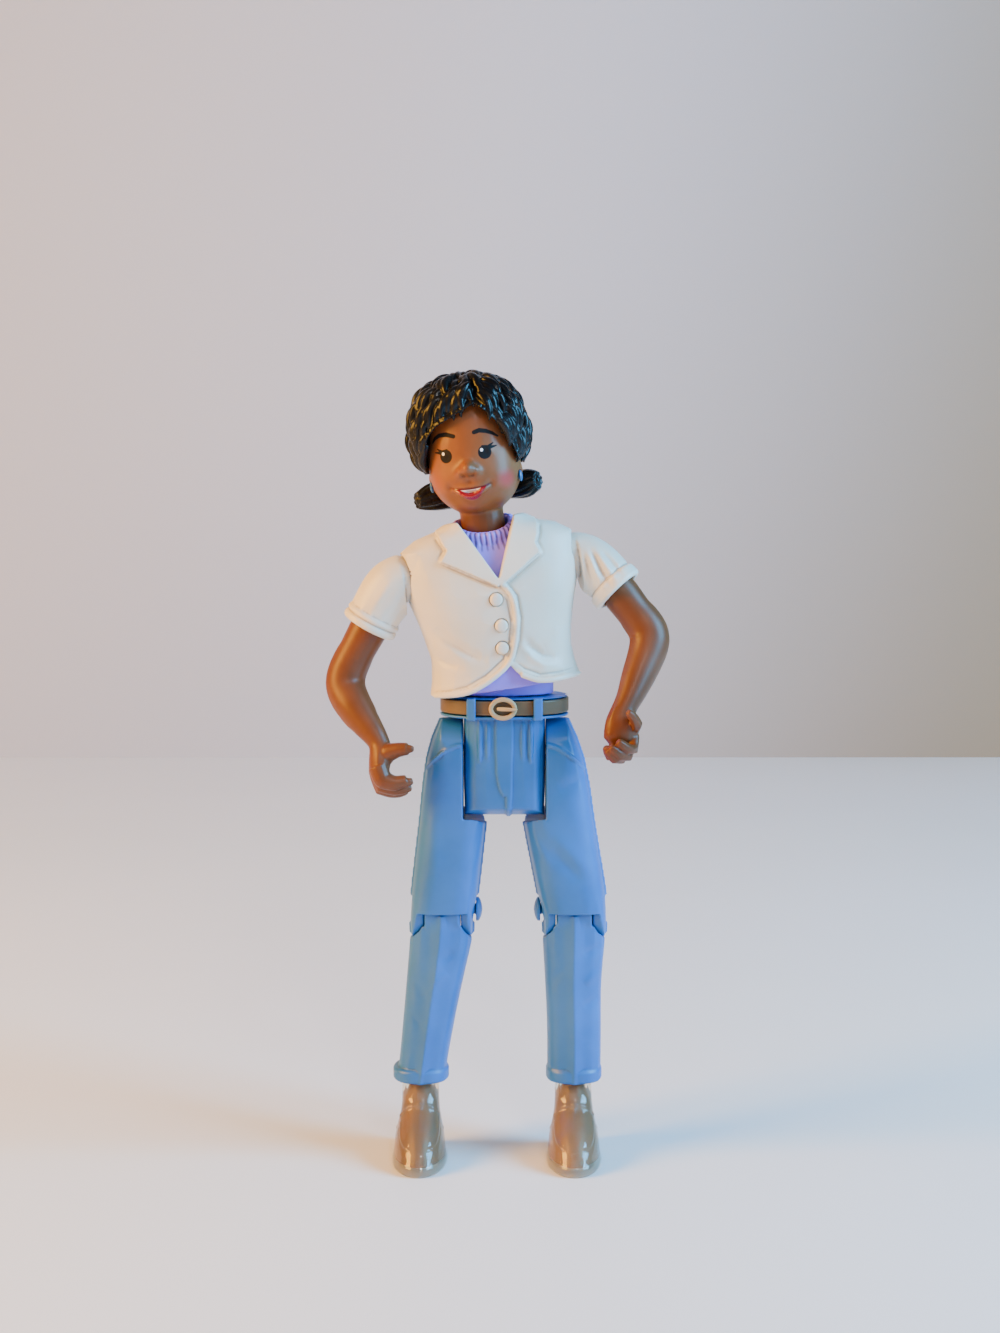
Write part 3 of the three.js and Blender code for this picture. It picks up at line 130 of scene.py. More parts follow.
def rounded(piece, voxel, soften, corner=38):
    """Rounds the facets of a coarse copy, keeps its corners, and leaves them with a small radius."""
    alone(piece)
    bpy.ops.object.mode_set(mode="EDIT")
    bpy.ops.mesh.select_all(action="DESELECT")
    bpy.ops.mesh.select_mode(type="EDGE")
    bpy.ops.mesh.edges_select_sharp(sharpness=math.radians(corner))
    bpy.ops.transform.edge_crease(value=1)
    bpy.ops.object.mode_set(mode="OBJECT")
    finish_with(piece, "SUBSURF", levels=2, render_levels=2)
    return voxelled(piece, voxel, soften)


def tree_of(piece):
    """A mesh to shoot rays at."""
    return BVHTree.FromPolygons([Vector(point) for point in points_of(piece)],
                                [tuple(face.vertices) for face in piece.data.polygons])


def mark_hollows(piece):
    """Stores how hollow the surface is: 1 in a groove, 0 where it is flat, -1 on a ridge."""
    calm = bpy.data.objects.new("calm", piece.data.copy())
    bpy.context.scene.collection.objects.link(calm)
    finish_with(calm, "SMOOTH", factor=0.5, iterations=12)
    depth = ((points_of(calm) - points_of(piece)) * normals_of(piece)).sum(1)
    bpy.data.objects.remove(calm)
    marks = piece.data.attributes.new("hollow", "FLOAT", "POINT")
    marks.data.foreach_set("value", np.clip(depth / HOLLOW_DEEP, -1, 1))


# Shader arithmetic
class Value:
    """A number that changes over a surface."""

    def __init__(self, finish, socket):
        self.finish = finish
        self.socket = socket

    def maths(self, operation, *values):
        made = self.finish.node("Math", {"operation": operation}, *values)
        return Value(self.finish, made.outputs[0])

    def __add__(self, other):
        return self.maths("ADD", self, other)

    __radd__ = __add__

    def __sub__(self, other):
        return self.maths("SUBTRACT", self, other)

    def __rsub__(self, other):
        return self.maths("SUBTRACT", other, self)

    def __mul__(self, other):
        return self.maths("MULTIPLY", self, other)

    __rmul__ = __mul__

    def __truediv__(self, other):
        return self.maths("DIVIDE", self, other)

    def __neg__(self):
        return self * -1

    def smaller(self, other):
        return self.maths("MINIMUM", self, other)

    def larger(self, other):
        return self.maths("MAXIMUM", self, other)

    def size(self):
        return self.maths("ABSOLUTE", self)

    def root(self):
        return self.maths("SQRT", self)

    def cosine(self):
        return self.maths("COSINE", self)

    def turn_from(self, other):
        """The angle of a place from the other number's axis."""
        return self.maths("ARCTAN2", self, other)

    def step(self, low, high):
        """Rises from 0 at low to 1 at high, with a soft start and end."""
        made = self.finish.node("MapRange", {"interpolation_type": "SMOOTHSTEP"},
                                Value=self, From_Min=low, From_Max=high)
        return Value(self.finish, made.outputs[0])

    def inside(self, edge, blur):
        """1 where the number is below the edge, 0 above it."""
        return 1 - self.step(edge - blur, edge + blur)


class Finish:
    """A material. What is the same all over it is set on the shader itself."""

    def __init__(self, name, color, **shader):
        self.material = bpy.data.materials.new(name)
        self.material.use_nodes = True
        self.tree = self.material.node_tree
        self.shader = self.tree.nodes["Principled BSDF"]
        self.color = (*color, 1)
        self.material.diffuse_color = self.color
        self.put(self.shader, "Base_Color", self.color)
        for socket, value in shader.items():
            self.put(self.shader, socket, value)
        self.place = self.node("TexCoord", {}).outputs["Object"]

    def put(self, node, name, value):
        """Sets or links one socket, which is named or numbered."""
        if isinstance(name, int):
            socket = node.inputs[name]
        else:
            socket = next((s for s in node.inputs if s.identifier == name), None)
            socket = socket or node.inputs[name.replace("_", " ")]
        if isinstance(value, Value):
            value = value.socket
        if isinstance(value, bpy.types.NodeSocket):
            self.tree.links.new(value, socket)
        else:
            socket.default_value = value

    def node(self, kind, settings, *values, **named):
        """Adds one node: its settings first, then its sockets in their order or by name."""
        made = self.tree.nodes.new("ShaderNode" + kind)
        for name, value in settings.items():
            setattr(made, name, value)
        for number, value in enumerate(values):
            self.put(made, number, value)
        for name, value in named.items():
            self.put(made, name, value)
        return made

    def mix(self, factor, a, b):
        """Colour a where the factor is 0, colour b where it is 1."""
        ends = {"A_Color": a if not isinstance(a, tuple) else (*a[:3], 1),
                "B_Color": b if not isinstance(b, tuple) else (*b[:3], 1)}
        made = self.node("Mix", {"data_type": "RGBA"}, Factor_Float=factor, **ends)
        return next(socket for socket in made.outputs if socket.identifier == "Result_Color")

    def noise(self, scale, detail=3, roughness=0.5):
        made = self.node("TexNoise", {}, Vector=self.place, Scale=scale, Detail=detail,
                         Roughness=roughness)
        return Value(self, made.outputs[0])

    def split(self, vector):
        made = self.node("SeparateXYZ", {}, vector)
        return [Value(self, s) for s in made.outputs]

    def within(self, place):
        """The place on the piece in a tilted frame, in millimetres."""
        back = place.inverted()
        return self.node("Mapping", {"vector_type": "POINT"}, Vector=self.place,
                         Rotation=back.to_euler(), Location=back.to_translation() / MM,
                         Scale=(1 / MM,) * 3).outputs[0]

    def bump(self, height, distance, strength, **under):
        """A fine relief, on top of another one if that is given as Normal."""
        made = self.node("Bump", {}, Height=height, Distance=distance, Strength=strength, **under)
        return made.outputs[0]


GROOVE_SHADE_SHARES = (0.4, 0.34, 0.32)  # how much of each colour is left under the painted shade of a deep groove


def plastic(name, color, rough=0.42, mottle=0.06, worn=0.5, coat=0.12, groove=0.6, **shader):
    """Moulded plastic with an uneven colour, handling marks, a faint relief, painted shade in grooves
    and a painted highlight on ridges.
    """
    finish = Finish(name, color, Coat_Weight=coat, Coat_Roughness=0.22, **shader)
    cloud = finish.noise(90, 4)
    grain = finish.noise(900, 3)
    darker = tuple(c * (1 - 2.2 * mottle) for c in color)
    paler = tuple(min(1, c * (1 + 1.6 * mottle) + 0.01) for c in color)
    # deep is the colour of the painted shade in grooves, high that of the painted highlight on ridges
    deep = tuple(c * share for c, share in zip(color, GROOVE_SHADE_SHARES))
    high = tuple(min(1, c * 1.25 + 0.02) for c in color)
    tone = finish.mix(cloud.step(0.3, 0.7), darker, paler)
    rubbed = finish.noise(260, 5, 0.7).step(0.62, 0.74) * worn
    tone = finish.mix(rubbed * 0.14, tone, tuple(c * 0.72 for c in color))
    hollow = Value(finish, finish.node("Attribute", {"attribute_name": "hollow"}).outputs["Fac"])
    # Painted shade darkens the grooves and a painted highlight lightens the ridges
    tone = finish.mix(hollow.step(0.15, 1) * groove, tone, deep)
    tone = finish.mix((-hollow).step(0.3, 1) * groove * 0.3, tone, high)
    finish.tone = tone
    finish.grooved = groove > 0
    finish.put(finish.shader, "Base_Color", tone)
    finish.put(finish.shader, "Roughness",
               rough + (cloud - 0.5) * 0.16 + (grain - 0.5) * 0.08 + rubbed * 0.1)
    finish.skin = finish.bump(grain, 0.02 * MM, 0.35, Normal=finish.bump(cloud, 0.12 * MM, 0.3))
    finish.put(finish.shader, "Normal", finish.skin)
    return finish


SKIN = (0.135, 0.036, 0.007)
FACE_SKIN = (0.225, 0.070, 0.019)
skin = plastic("brown_plastic", SKIN, rough=0.42, coat=0.05, Specular_IOR_Level=0.3)
black = plastic("black_hair_plastic", (0.003, 0.003, 0.0038), rough=0.25, coat=0.02, mottle=0.05,
                worn=0, groove=0, Specular_IOR_Level=0.2)
off_white = plastic("off_white_plastic", (0.74, 0.68, 0.58), rough=0.42, mottle=0.02, coat=0.05,
                    Subsurface_Weight=0.12, Subsurface_Radius=(1, 0.8, 0.6), Subsurface_Scale=MM)
LILAC = (0.31, 0.20, 0.92)
COLLAR_RIBS = 36
RIB_HIGH = 0.17
lilac = plastic("lilac_plastic", LILAC, rough=0.45, mottle=0.03, coat=0.03)
blue = plastic("light_blue_plastic", (0.010, 0.130, 0.43), rough=0.42, mottle=0.04, coat=0.04)
tan = plastic("tan_plastic", (0.115, 0.068, 0.028), rough=0.45, mottle=0.06, coat=0.05)
pale_tan = plastic("pale_tan_plastic", (0.44, 0.31, 0.16), rough=0.40, mottle=0.04)
brown = plastic("shoe_brown_plastic", (0.24, 0.10, 0.032), rough=0.42, mottle=0.06)
stud_blue = plastic("pale_blue_paint", (0.012, 0.10, 0.28), rough=0.35, coat=0.2)
steel = plastic("steel_pin", (0.52, 0.53, 0.55), rough=0.3, Metallic=0.9)
clear = plastic("clear_amber_plastic", (0.96, 0.88, 0.68), rough=0.05, mottle=0.02, worn=0.2,
                coat=0.2, groove=0, Transmission_Weight=0.94, IOR=1.46)


# Tilted frames of the torso and the head: x to the doll's left, y back, z up, from the waist pivot
TORSO_TURN = 7.5  # degrees
TORSO_LEAN = -8
HEAD_TURN = -15
joints = {joint["name"]: joint for joint in frame["joints"]}
WAIST = Vector(joints["waist_lean"]["pos_m"])
FEET_FRAME = Matrix.Translation((WAIST.x, WAIST.y, 0))
TORSO_FRAME = (Matrix.Translation(WAIST) @ Matrix.Rotation(math.radians(TORSO_TURN), 4, "Z")
               @ Matrix.Rotation(math.radians(TORSO_LEAN), 4, "Y"))
HEAD_FRAME = TORSO_FRAME @ Matrix.Rotation(math.radians(HEAD_TURN), 4, "Z")
TO_HEAD = HEAD_FRAME.inverted()


def soften_around(piece, centre, full, none, times):
    """Smooths a surface around one place: fully up to one distance, not at all beyond another."""
    far = np.linalg.norm(points_of(piece) - np.array(centre), axis=1) / MM
    share = np.round(np.clip((none - far) / (none - full), 0, 1), 1)
    group = piece.vertex_groups.new(name="soft")
    for weight in np.unique(share[share > 0]):
        group.add(np.flatnonzero(share == weight).tolist(), float(weight), "REPLACE")
    finish_with(piece, "SMOOTH", factor=0.5, iterations=times, vertex_group="soft")
    piece.vertex_groups.clear()


def in_frame(place, point):
    """A point of a tilted frame, given in millimetres, in the row frame."""
    return place @ (Vector(point) * MM)


def reshape(piece, place, change):
    """Moves a piece's points, worked out in millimetres in a tilted frame.

    The change takes the points and how far each faces the front, from 0 to 1.
    """
    back = np.array(place.inverted())
    facing = np.clip(-(normals_of(piece) @ back[:3, :3].T)[:, 1] * 1.6, 0, 1)
    points = change((points_of(piece) @ back[:3, :3].T + back[:3, 3]) / MM, facing)
    turn = np.array(place)
    set_points(piece, (points * MM) @ turn[:3, :3].T + turn[:3, 3])
    return piece


def sideways(x, shift):
    """A shift along x for each point."""
    return np.stack([x * shift, shift * 0, shift * 0], axis=1)


def swell(points, at, reach, height):
    """Raises or sinks a surface around one place, towards the front."""
    lift = height * np.exp(-(((points - np.array(at)) / reach) ** 2).sum(1))
    return points - lift[:, None] * np.array([0, 1, 0])


def fold(points, facing, line, width, height):
    """Raises or sinks the front of a surface along a line of places (x, z), fading out at its ends."""
    line = np.array(line, float)
    spans = np.linalg.norm(np.diff(line, axis=0), axis=1)
    total = spans.sum()
    nearest = np.full(len(points), 1e9)
    along = np.zeros(len(points))
    run = 0
    for (a, b), span in zip(zip(line, line[1:]), spans):
        across = points[:, (0, 2)] - a
        share = np.clip(across @ (b - a) / span ** 2, 0, 1)
        away = np.linalg.norm(across - share[:, None] * (b - a), axis=1)
        closer = away < nearest
        nearest = np.where(closer, away, nearest)
        along = np.where(closer, (run + share * span) / total, along)
        run += span
    ends = np.sin(np.pi * np.clip(along, 0.02, 0.98)) ** 0.5
    lift = height * ends * facing * np.exp(-(nearest / width) ** 2)
    return points - lift[:, None] * np.array([0, 1, 0])


def ribbed_shirt():
    """The lilac shirt, with painted shade in the grooves between the ribs of its collar."""
    finish = plastic("ribbed_lilac_plastic", LILAC, rough=0.45, mottle=0.03, coat=0.03)
    u, v, w = finish.split(finish.within(TORSO_FRAME))
    wave = (v.turn_from(u) * COLLAR_RIBS).cosine()
    far = (u * u + v * v).root()
    height = w - v.smaller(0) * 0.4
    band = far.step(5.15, 5.4) * far.inside(7.2, 0.3) * height.step(26.2, 26.9) * v.inside(2.6, 0.4)
    # Painted shade in the grooves between the collar's ribs
    rib_groove_shade = (-wave).step(-0.1, 0.8) * band
    shade = tuple(c * 0.34 for c in LILAC)
    finish.put(finish.shader, "Base_Color", finish.mix(rib_groove_shade * 0.75, finish.tone, shade))
    return finish


def ribs_on(piece):
    """Twice as many ribs round the collar as the solid has, each half as wide."""
    def change(points, facing):
        far = np.hypot(points[:, 0], points[:, 1])
        turn = np.arctan2(points[:, 1], points[:, 0])
        shift = RIB_HIGH * (np.cos(COLLAR_RIBS * turn) - np.cos(COLLAR_RIBS / 2 * turn))
        shift *= (far > 5.1) * (far < 7) * np.clip((points[:, 2] - 24.8) / 0.8, 0, 1)
        # At the back the collar lies under the vest
        shift = np.where(points[:, 1] > 3, -0.3 * (far > 5.8) * (far < 8), shift)
        return points + np.stack([np.cos(turn), np.sin(turn), turn * 0], axis=1) * shift[:, None]
    return reshape(piece, TORSO_FRAME, change)


# Face paint, in the head's own frame
FACE_MIDDLE = -0.15
EYES = [(-3.9, 42.34), (3.3, 42.18)]
EYE_WIDE = 1.18
EYE_TALL = 1.24
GLINT_RADIUS = 0.27
BROW_RIGHT = [(-6.4, 45.05), (-5.75, 45.8), (-4.8, 46.25), (-3.4, 46.25), (-2.0, 45.75)]
BROW_LEFT = [(1.85, 46.0), (2.8, 46.22), (3.9, 45.95), (4.9, 45.45), (5.8, 44.75)]
BROW_THICK = (0.14, 0.3, 0.38, 0.42, 0.38)  # from the outer end to the inner one
BLUSHES = [((6.4, 36.9), 0.62), ((-6.6, 37.4), 0.12)]
MOUTH_MIDDLE = -0.1
NECK_TOP = 31.9
BLUSH = (0.50, 0.035, 0.045)
LIP_RED = (0.24, 0.0015, 0.010)
LIP_LINE = (0.10, 0.004, 0.008)
TOOTH_WHITE = (0.72, 0.62, 0.58)
INK = (0.002, 0.002, 0.003)
GLINT = (0.9, 0.9, 0.9)


def stroke(u, w, a, b, thick_a, thick_b):
    """A brush stroke between two places, thicker at one end."""
    length = math.hypot(b[0] - a[0], b[1] - a[1])
    along_u, along_w = (b[0] - a[0]) / length, (b[1] - a[1]) / length
    run = ((u - a[0]) * along_u + (w - a[1]) * along_w).larger(0).smaller(length)
    off_u = u - (run * along_u + a[0])
    off_w = w - (run * along_w + a[1])
    far = (off_u * off_u + off_w * off_w).root()
    return (far - run * ((thick_b - thick_a) / length)).inside(thick_a, 0.07)


def disc(u, w, centre, wide, tall, blur=0.06):
    """A round or oval spot."""
    across = (u - centre[0]) / wide
    up = (w - centre[1]) / tall
    return (across * across + up * up).root().inside(1, blur)


def painted_face():
    """Skin with eyes, lashes, brows, lips, teeth and blush, painted on the front of the head."""
    finish = plastic("painted_face", FACE_SKIN, rough=0.43, coat=0.06, Specular_IOR_Level=0.28,
                     Subsurface_Weight=0.06, Subsurface_Radius=(0.6, 0.25, 0.12),
                     Subsurface_Scale=1.2 * MM)
    u, v, w = finish.split(finish.within(HEAD_FRAME))
    front = (-v).step(3, 5)

    # Painted shadow under the chin: the neck is darkened below the face's colour, even below the arms'
    # brown
    tone = finish.mix((NECK_TOP - w).step(0, 1.4) * 0.8, finish.tone, tuple(c * 0.62 for c in SKIN))

    # Warm blush on the cheeks
    for centre, strength in BLUSHES:
        across = (u - centre[0]) / 1.9
        up = (w - centre[1]) / 2.2
        cheek = 1 - (across * across + up * up).root().step(0.15, 1.15)
        tone = finish.mix(cheek * front * strength, tone, BLUSH)

    # Lips: a dark line, white teeth below it, and a full red lower lip
    m = u - MOUTH_MIDDLE
    square = m * m
    line = square * 0.035 + 35.95
    teeth_low = square * 0.17 + 35.3
    lip_low = square * 0.27 + 33.85
    up, out = w - line, m.size()
    lower = up.inside(0.05, 0.06) * (lip_low - w).inside(0, 0.08) * out.inside(2.95, 0.1) * front
    upper = up.size().inside(0.15, 0.06) * out.inside(3.5, 0.2) * front
    teeth = up.inside(-0.14, 0.05) * (teeth_low - w).inside(0, 0.06) * out.inside(1.9, 0.1) * front
    tone = finish.mix(lower, tone, LIP_RED)
    tone = finish.mix(upper, tone, LIP_LINE)
    tone = finish.mix(teeth, tone, TOOTH_WHITE)

    # Eyes, lashes and brows in black
    dark = None
    for (x, z), side in zip(EYES, (-1, 1)):
        strokes = [
            disc(u, w, (x, z), EYE_WIDE, EYE_TALL),
            stroke(u, w, (x + side * 0.7, z + 0.7), (x + side * 2.1, z + 0.9), 0.4, 0.1),
            stroke(u, w, (x + side * 0.6, z + 0.8), (x + side * 1.6, z + 1.5), 0.36, 0.1),
            stroke(u, w, (x - side * 0.3, z + 1.12), (x + side * 0.95, z + 0.85), 0.2, 0.3),
        ]
        for mark in strokes:
            dark = mark if dark is None else dark.larger(mark)
    for brow, thick in ((BROW_RIGHT, BROW_THICK), (BROW_LEFT, BROW_THICK[::-1])):
        for a, b, ta, tb in zip(brow, brow[1:], thick, thick[1:]):
            dark = dark.larger(stroke(u, w, a, b, ta, tb))
    dark = dark * front
    tone = finish.mix(dark, tone, INK)
    for x, z in EYES:
        spot = disc(u, w, (x - 0.48, z + 0.5), GLINT_RADIUS, GLINT_RADIUS + 0.03, 0.15)
        tone = finish.mix(spot * front, tone, GLINT)
    finish.put(finish.shader, "Base_Color", tone)
    finish.put(finish.shader, "Coat_Weight", 0.06 + lower * 0.6 - dark * 0.06)
    finish.put(finish.shader, "Roughness",
               0.43 - lower * 0.16 + dark * 0.3 + (finish.noise(90) - 0.5) * 0.1)
    return finish


# Head: the forms of the face, as place, reach and height
NOSE = (FACE_MIDDLE, -9.4, 39.3)
FACE_SWELLS = [
    ((FACE_MIDDLE, -10.2, 39.6), 1.7, 0.55),  # tip of the nose
    ((FACE_MIDDLE - 1.7, -9, 39.1), 0.95, 0.4),  # its wings
    ((FACE_MIDDLE + 1.7, -9, 39.1), 0.95, 0.4),
    ((FACE_MIDDLE - 0.85, -9.6, 38.3), 0.5, -0.3),  # nostrils
    ((FACE_MIDDLE + 0.85, -9.6, 38.3), 0.5, -0.3),
    ((FACE_MIDDLE, -8.6, 37.4), 0.7, -0.22),  # hollow above the lip
    ((MOUTH_MIDDLE - 3.75, -7.9, 36.5), 0.75, -0.4),  # corners of the mouth
    ((MOUTH_MIDDLE + 3.65, -7.9, 36.35), 0.75, -0.4),
    ((FACE_MIDDLE, -7.7, 33.2), 1.5, -0.25),  # hollow above the chin
    ((FACE_MIDDLE, -6.6, 31.9), 1.8, 0.3),  # chin
]
# The lower lip, the slit of the mouth and the upper lip: places (x, z), width, height
LIP_FOLDS = [
    ([(-2.7, 35.8), (-1.7, 35.0), (-0.1, 34.45), (1.5, 35.0), (2.5, 35.8)], 0.42, 0.38),
    ([(-3.6, 36.45), (-1.9, 36.05), (0, 35.93), (1.7, 36.05), (3.4, 36.4)], 0.24, -0.34),
    ([(-2.6, 36.6), (-0.8, 36.45), (-0.1, 36.4), (0.6, 36.45), (2.4, 36.6)], 0.38, 0.14),
]


def head_piece():
    """The head with its face formed: round nose, parted lips and chin."""
    def face(points, facing):
        for at, reach, height in FACE_SWELLS:
            points = swell(points, at, reach, height)
        for line, width, height in LIP_FOLDS:
            points = fold(points, facing, line, width, height)
        return points

    piece = rounded(copy_of("doll_head", "head"), 0.2, 9, corner=50)
    soften_around(piece, in_frame(HEAD_FRAME, NOSE), 2.6, 4.2, 40)
    return reshape(piece, HEAD_FRAME, face)


# Hair
HAIR_VOXEL = 0.15
HAIR_MIDDLE = Vector((-0.4, 0, 46))
HAIR_RADIUS = 10.8
PARTING = 2.6
LOCK_LONG = 6.2
LOCK_WIDE = 1.75
LOCK_TALL = 1.85
LOCK_DEPTH = 0.95  # how deep a lock's middle lies under the solid's face
LOCK_ROWS = 10
LOCK_START = 84  # degrees above the level of the hair's middle
LOCK_STEP = 15  # degrees from row to row
LOCK_ASIDE = 1.75  # from lock to lock in a row
LOCK_BEND = 11.2  # radius that a lock bends round
FACE_HANG = 3.0  # how far a lock reaches that mustn't hang past the hairline
NAPE_HANG = 0.8


def lock_shape(name, curl):
    """One lock: a stretched ball, narrower at its tip and curled to one side."""
    bpy.ops.mesh.primitive_uv_sphere_add(segments=10, ring_count=12, radius=0.5)
    lock = bpy.context.object
    lock.name = name
    bpy.ops.object.mode_set(mode="EDIT")
    bpy.ops.mesh.select_all(action="SELECT")
    bpy.ops.transform.rotate(value=math.radians(90), orient_axis="Y", center_override=(0, 0, 0))
    bpy.ops.transform.resize(value=(LOCK_LONG, LOCK_WIDE, LOCK_TALL))
    bpy.ops.object.mode_set(mode="OBJECT")
    points = points_of(lock)
    run = points[:, 0] / LOCK_LONG + 0.5
    points[:, 1:] *= (1.1 - 0.45 * run ** 1.6)[:, None]
    points[:, 1] += curl * (3 * (run - 0.4) ** 2 - 0.35)
    points[:, 2] += 0.25 * np.sin(run * math.pi) - 0.25 * run ** 3
    set_points(lock, points)
    return lock


def hair_cap_piece():
    """The hair: rows of short locks that lie over each other, swept away from the peak."""
    cap = rounded(copy_of("curly_hair", "hair_cap"), 0.3, 10, corner=60)
    tree = tree_of(cap)
    middle = in_frame(HEAD_FRAME, HAIR_MIDDLE)
    turn = HEAD_FRAME.to_3x3()
    draw = random.Random(11)

    # The cap's outer face sinks to make room for the locks, nowhere through its inner one
    sunk = []
    for point, normal in zip(points_of(cap), normals_of(cap)):
        point, normal = Vector(point), Vector(normal)
        thick = tree.ray_cast(point - normal * 0.02 * MM, -normal)[3]
        outer = normal.dot((point - middle).normalized()) > 0
        depth = min(LOCK_DEPTH * MM, 0.5 * (thick or 0)) if outer else 0
        sunk.append(point - normal * depth)
    set_points(cap, np.array(sunk))

    def skin_point(direction):
        """Where the hair's skin lies in one direction from its middle."""
        out = (turn @ direction).normalized()
        hit, normal, _, distance = tree.ray_cast(middle + out * 22 * MM, -out)
        if hit is None or distance > 14.5 * MM or normal.dot(out) < 0.3:
            return None
        return hit, normal

    def towards(point):
        return (TO_HEAD @ point) / MM - HAIR_MIDDLE

    shapes = [lock_shape("lock_left", 1), lock_shape("lock_right", -1)]
    locks = []
    for row in range(LOCK_ROWS):
        rise = math.radians(LOCK_START - row * LOCK_STEP)
        around = max(5, round(2 * math.pi * HAIR_RADIUS * math.cos(rise) / LOCK_ASIDE))
        for place in range(around):
            turn_to = 2 * math.pi * (place + 0.5 * (row % 2)) / around + draw.uniform(-0.05, 0.05)
            lift = rise + draw.uniform(-0.11, 0.11)
            level = math.cos(lift)
            found = skin_point(Vector((math.sin(turn_to) * level, -math.cos(turn_to) * level,
                                       math.sin(lift))))
            if found is None:
                continue
            hit, normal = found
            at = towards(hit)
            front = max(0.0, min(1.0, (-at.y - 1) / 6))
            aside = at.x + HAIR_MIDDLE.x - PARTING
            side = math.copysign(1, aside)
            near = min(1.0, abs(aside) / 4)
            flow = (Vector((at.x * 0.05, -0.25, -1)) * (1 - 0.5 * front)
                    + Vector((side * near * 0.62, -0.1, -0.5)) * front)
            if at.z > 8.5:
                flow = Vector((at.x, at.y - 3, -1.2))
            flow = turn @ flow
            flow = (flow - normal * flow.dot(normal)).normalized()
            # A lock whose tip would hang over the face is drawn back under the fringe
            hang = FACE_HANG if at.y < 1 else NAPE_HANG
            for _ in range(5):
                if skin_point(towards(hit + flow * hang * MM)) is not None:
                    break
                back = skin_point(towards(hit - flow * 0.6 * MM))
                if back is None:
                    break
                hit, normal = back
            across = normal.cross(flow).normalized()
            shape = shapes[0 if side < 0 else 1]
            size = draw.uniform(0.86, 1.1) * (0.85 if at.z > 9.5 else 1)
            lock = bpy.data.objects.new("lock", shape.data.copy())
            bpy.context.scene.collection.objects.link(lock)
            points = points_of(lock) * size
            points[:, 2] -= (points[:, 0] ** 2 + points[:, 1] ** 2) / (2 * LOCK_BEND)
            points[:, 2] += draw.uniform(-0.18, 0.12) - LOCK_DEPTH
            axes = np.array([flow, across, normal])
            set_points(lock, (points @ axes) * MM + np.array(hit))
            locks.append(lock)
    for shape in shapes:
        bpy.data.objects.remove(shape)
    return voxelled(joined("curly_hair", cap, *locks), HAIR_VOXEL, 2, factor=0.4)


# The roll along its middle, from the right tip to the left one: x, y, z, half height, half depth
ROLL = [
    (-12.3, 3.4, 34.6, 1.6, 1.2), (-10.8, 4.7, 34.9, 2.7, 2.1), (-8, 6.4, 34.9, 3.1, 2.5),
    (-4, 8, 34.9, 2.7, 2.3), (0, 8.6, 35, 2.5, 2.2), (4, 8, 35.1, 2.7, 2.3), (7.4, 6.6, 35, 3, 2.4),
    (9.7, 5.2, 35.2, 2.6, 2), (10.7, 4.5, 35.4, 1.7, 1.3),
]
STRANDS = 9
STRAND_REACH = 0.72  # of the roll's half height and half depth
STRAND_THICK = 0.72
STRAND_END = 0.5


def halved(values):
    """A row of values with the middle of each pair put in between."""
    between = [(a + b) / 2 for a, b in zip(values, values[1:])]
    return [value for pair in zip(values, between) for value in pair] + [values[-1]]


def tube(name, points, radii, sides=2):
    """A round strand along a smooth path: a path curve with a bevel, made a mesh."""
    if len(points) < 5:
        points, radii = halved(points), halved(radii)
    bpy.ops.curve.primitive_nurbs_path_add()
    strand = bpy.context.object
    strand.name = name
    curve = strand.data
    spline = curve.splines[0]
    spline.points.add(len(points) - len(spline.points))
    for knot, point, radius in zip(spline.points, points, radii):
        knot.co = (*point, 1)
        knot.radius = radius
    spline.order_u = 3
    spline.use_endpoint_u = True
    spline.resolution_u = 3
    curve.bevel_depth = MM
    curve.bevel_resolution = sides
    curve.use_fill_caps = True
    alone(strand)
    bpy.ops.object.convert(target="MESH")
    return bpy.context.object


def hair_roll_piece():
    """The rolled hair at the nape: combed strands laid side by side round the roll."""
    base = rounded(copy_of("nape_hair", "hair_roll"), 0.25, 4, corner=60)
    finish_with(base, "DISPLACE", strength=-0.55 * MM, mid_level=0)
    strands = []
    draw = random.Random(5)
    for k in range(STRANDS):
        start = 2 * math.pi * k / STRANDS
        path, radii = [], []
        for i, (x, y, z, tall, deep) in enumerate(ROLL):
            angle = start + 0.2 * (i - 4) + draw.uniform(-0.08, 0.08)
            before, after = ROLL[max(0, i - 1)], ROLL[min(len(ROLL) - 1, i + 1)]
            along = Vector(after[:3]) - Vector(before[:3])
            outward = along.cross(Vector((0, 0, 1))).normalized()
            off = outward * math.cos(angle) * deep + Vector((0, 0, 1)) * math.sin(angle) * tall
            path.append(in_frame(HEAD_FRAME, Vector((x, y, z)) + off * STRAND_REACH))
            radii.append(STRAND_THICK if 0 < i < len(ROLL) - 1 else STRAND_END)
        strands.append(tube("strand", path, radii))
    return voxelled(joined("nape_hair", base, *strands), HAIR_VOXEL, 1, factor=0.4)


# Shoes
ANKLE_TOP = 15.2
# How much fuller the foot is at each height
FOOT_HEIGHTS = (1.2, 2.0, 7.5, 11.5, 15, 16)
FOOT_GROWTH = (0, 0.15, 0.15, -0.45, -1.2, -1.2)
# Lines on the shoe's upper side, as places (x from the shoe's middle, y), with their radius
MIDDLE_SEAM = ([(0, y) for y in (-5.9, -7.6, -9.4, -11.2, -12.8, -13.9)], 0.16)
TOE_SEAM = ([(-3.6, -5.6), (-3.5, -8.2), (-3.0, -10.6), (-1.9, -12.5), (0, -13.4),
             (1.9, -12.5), (3.0, -10.6), (3.5, -8.2), (3.6, -5.6)], 0.26)
STRAP = ([(-3.7, -4.3), (-2.6, -4.9), (-1.2, -5.2), (0, -5.3), (1.2, -5.2), (2.6, -4.9),
          (3.7, -4.3)], 0.42)
KNOT = ([(-0.5, -5.4), (0, -5.4), (0.5, -5.4)], (0.6, 0.8, 0.6))
BROAD_TOE = 0.05


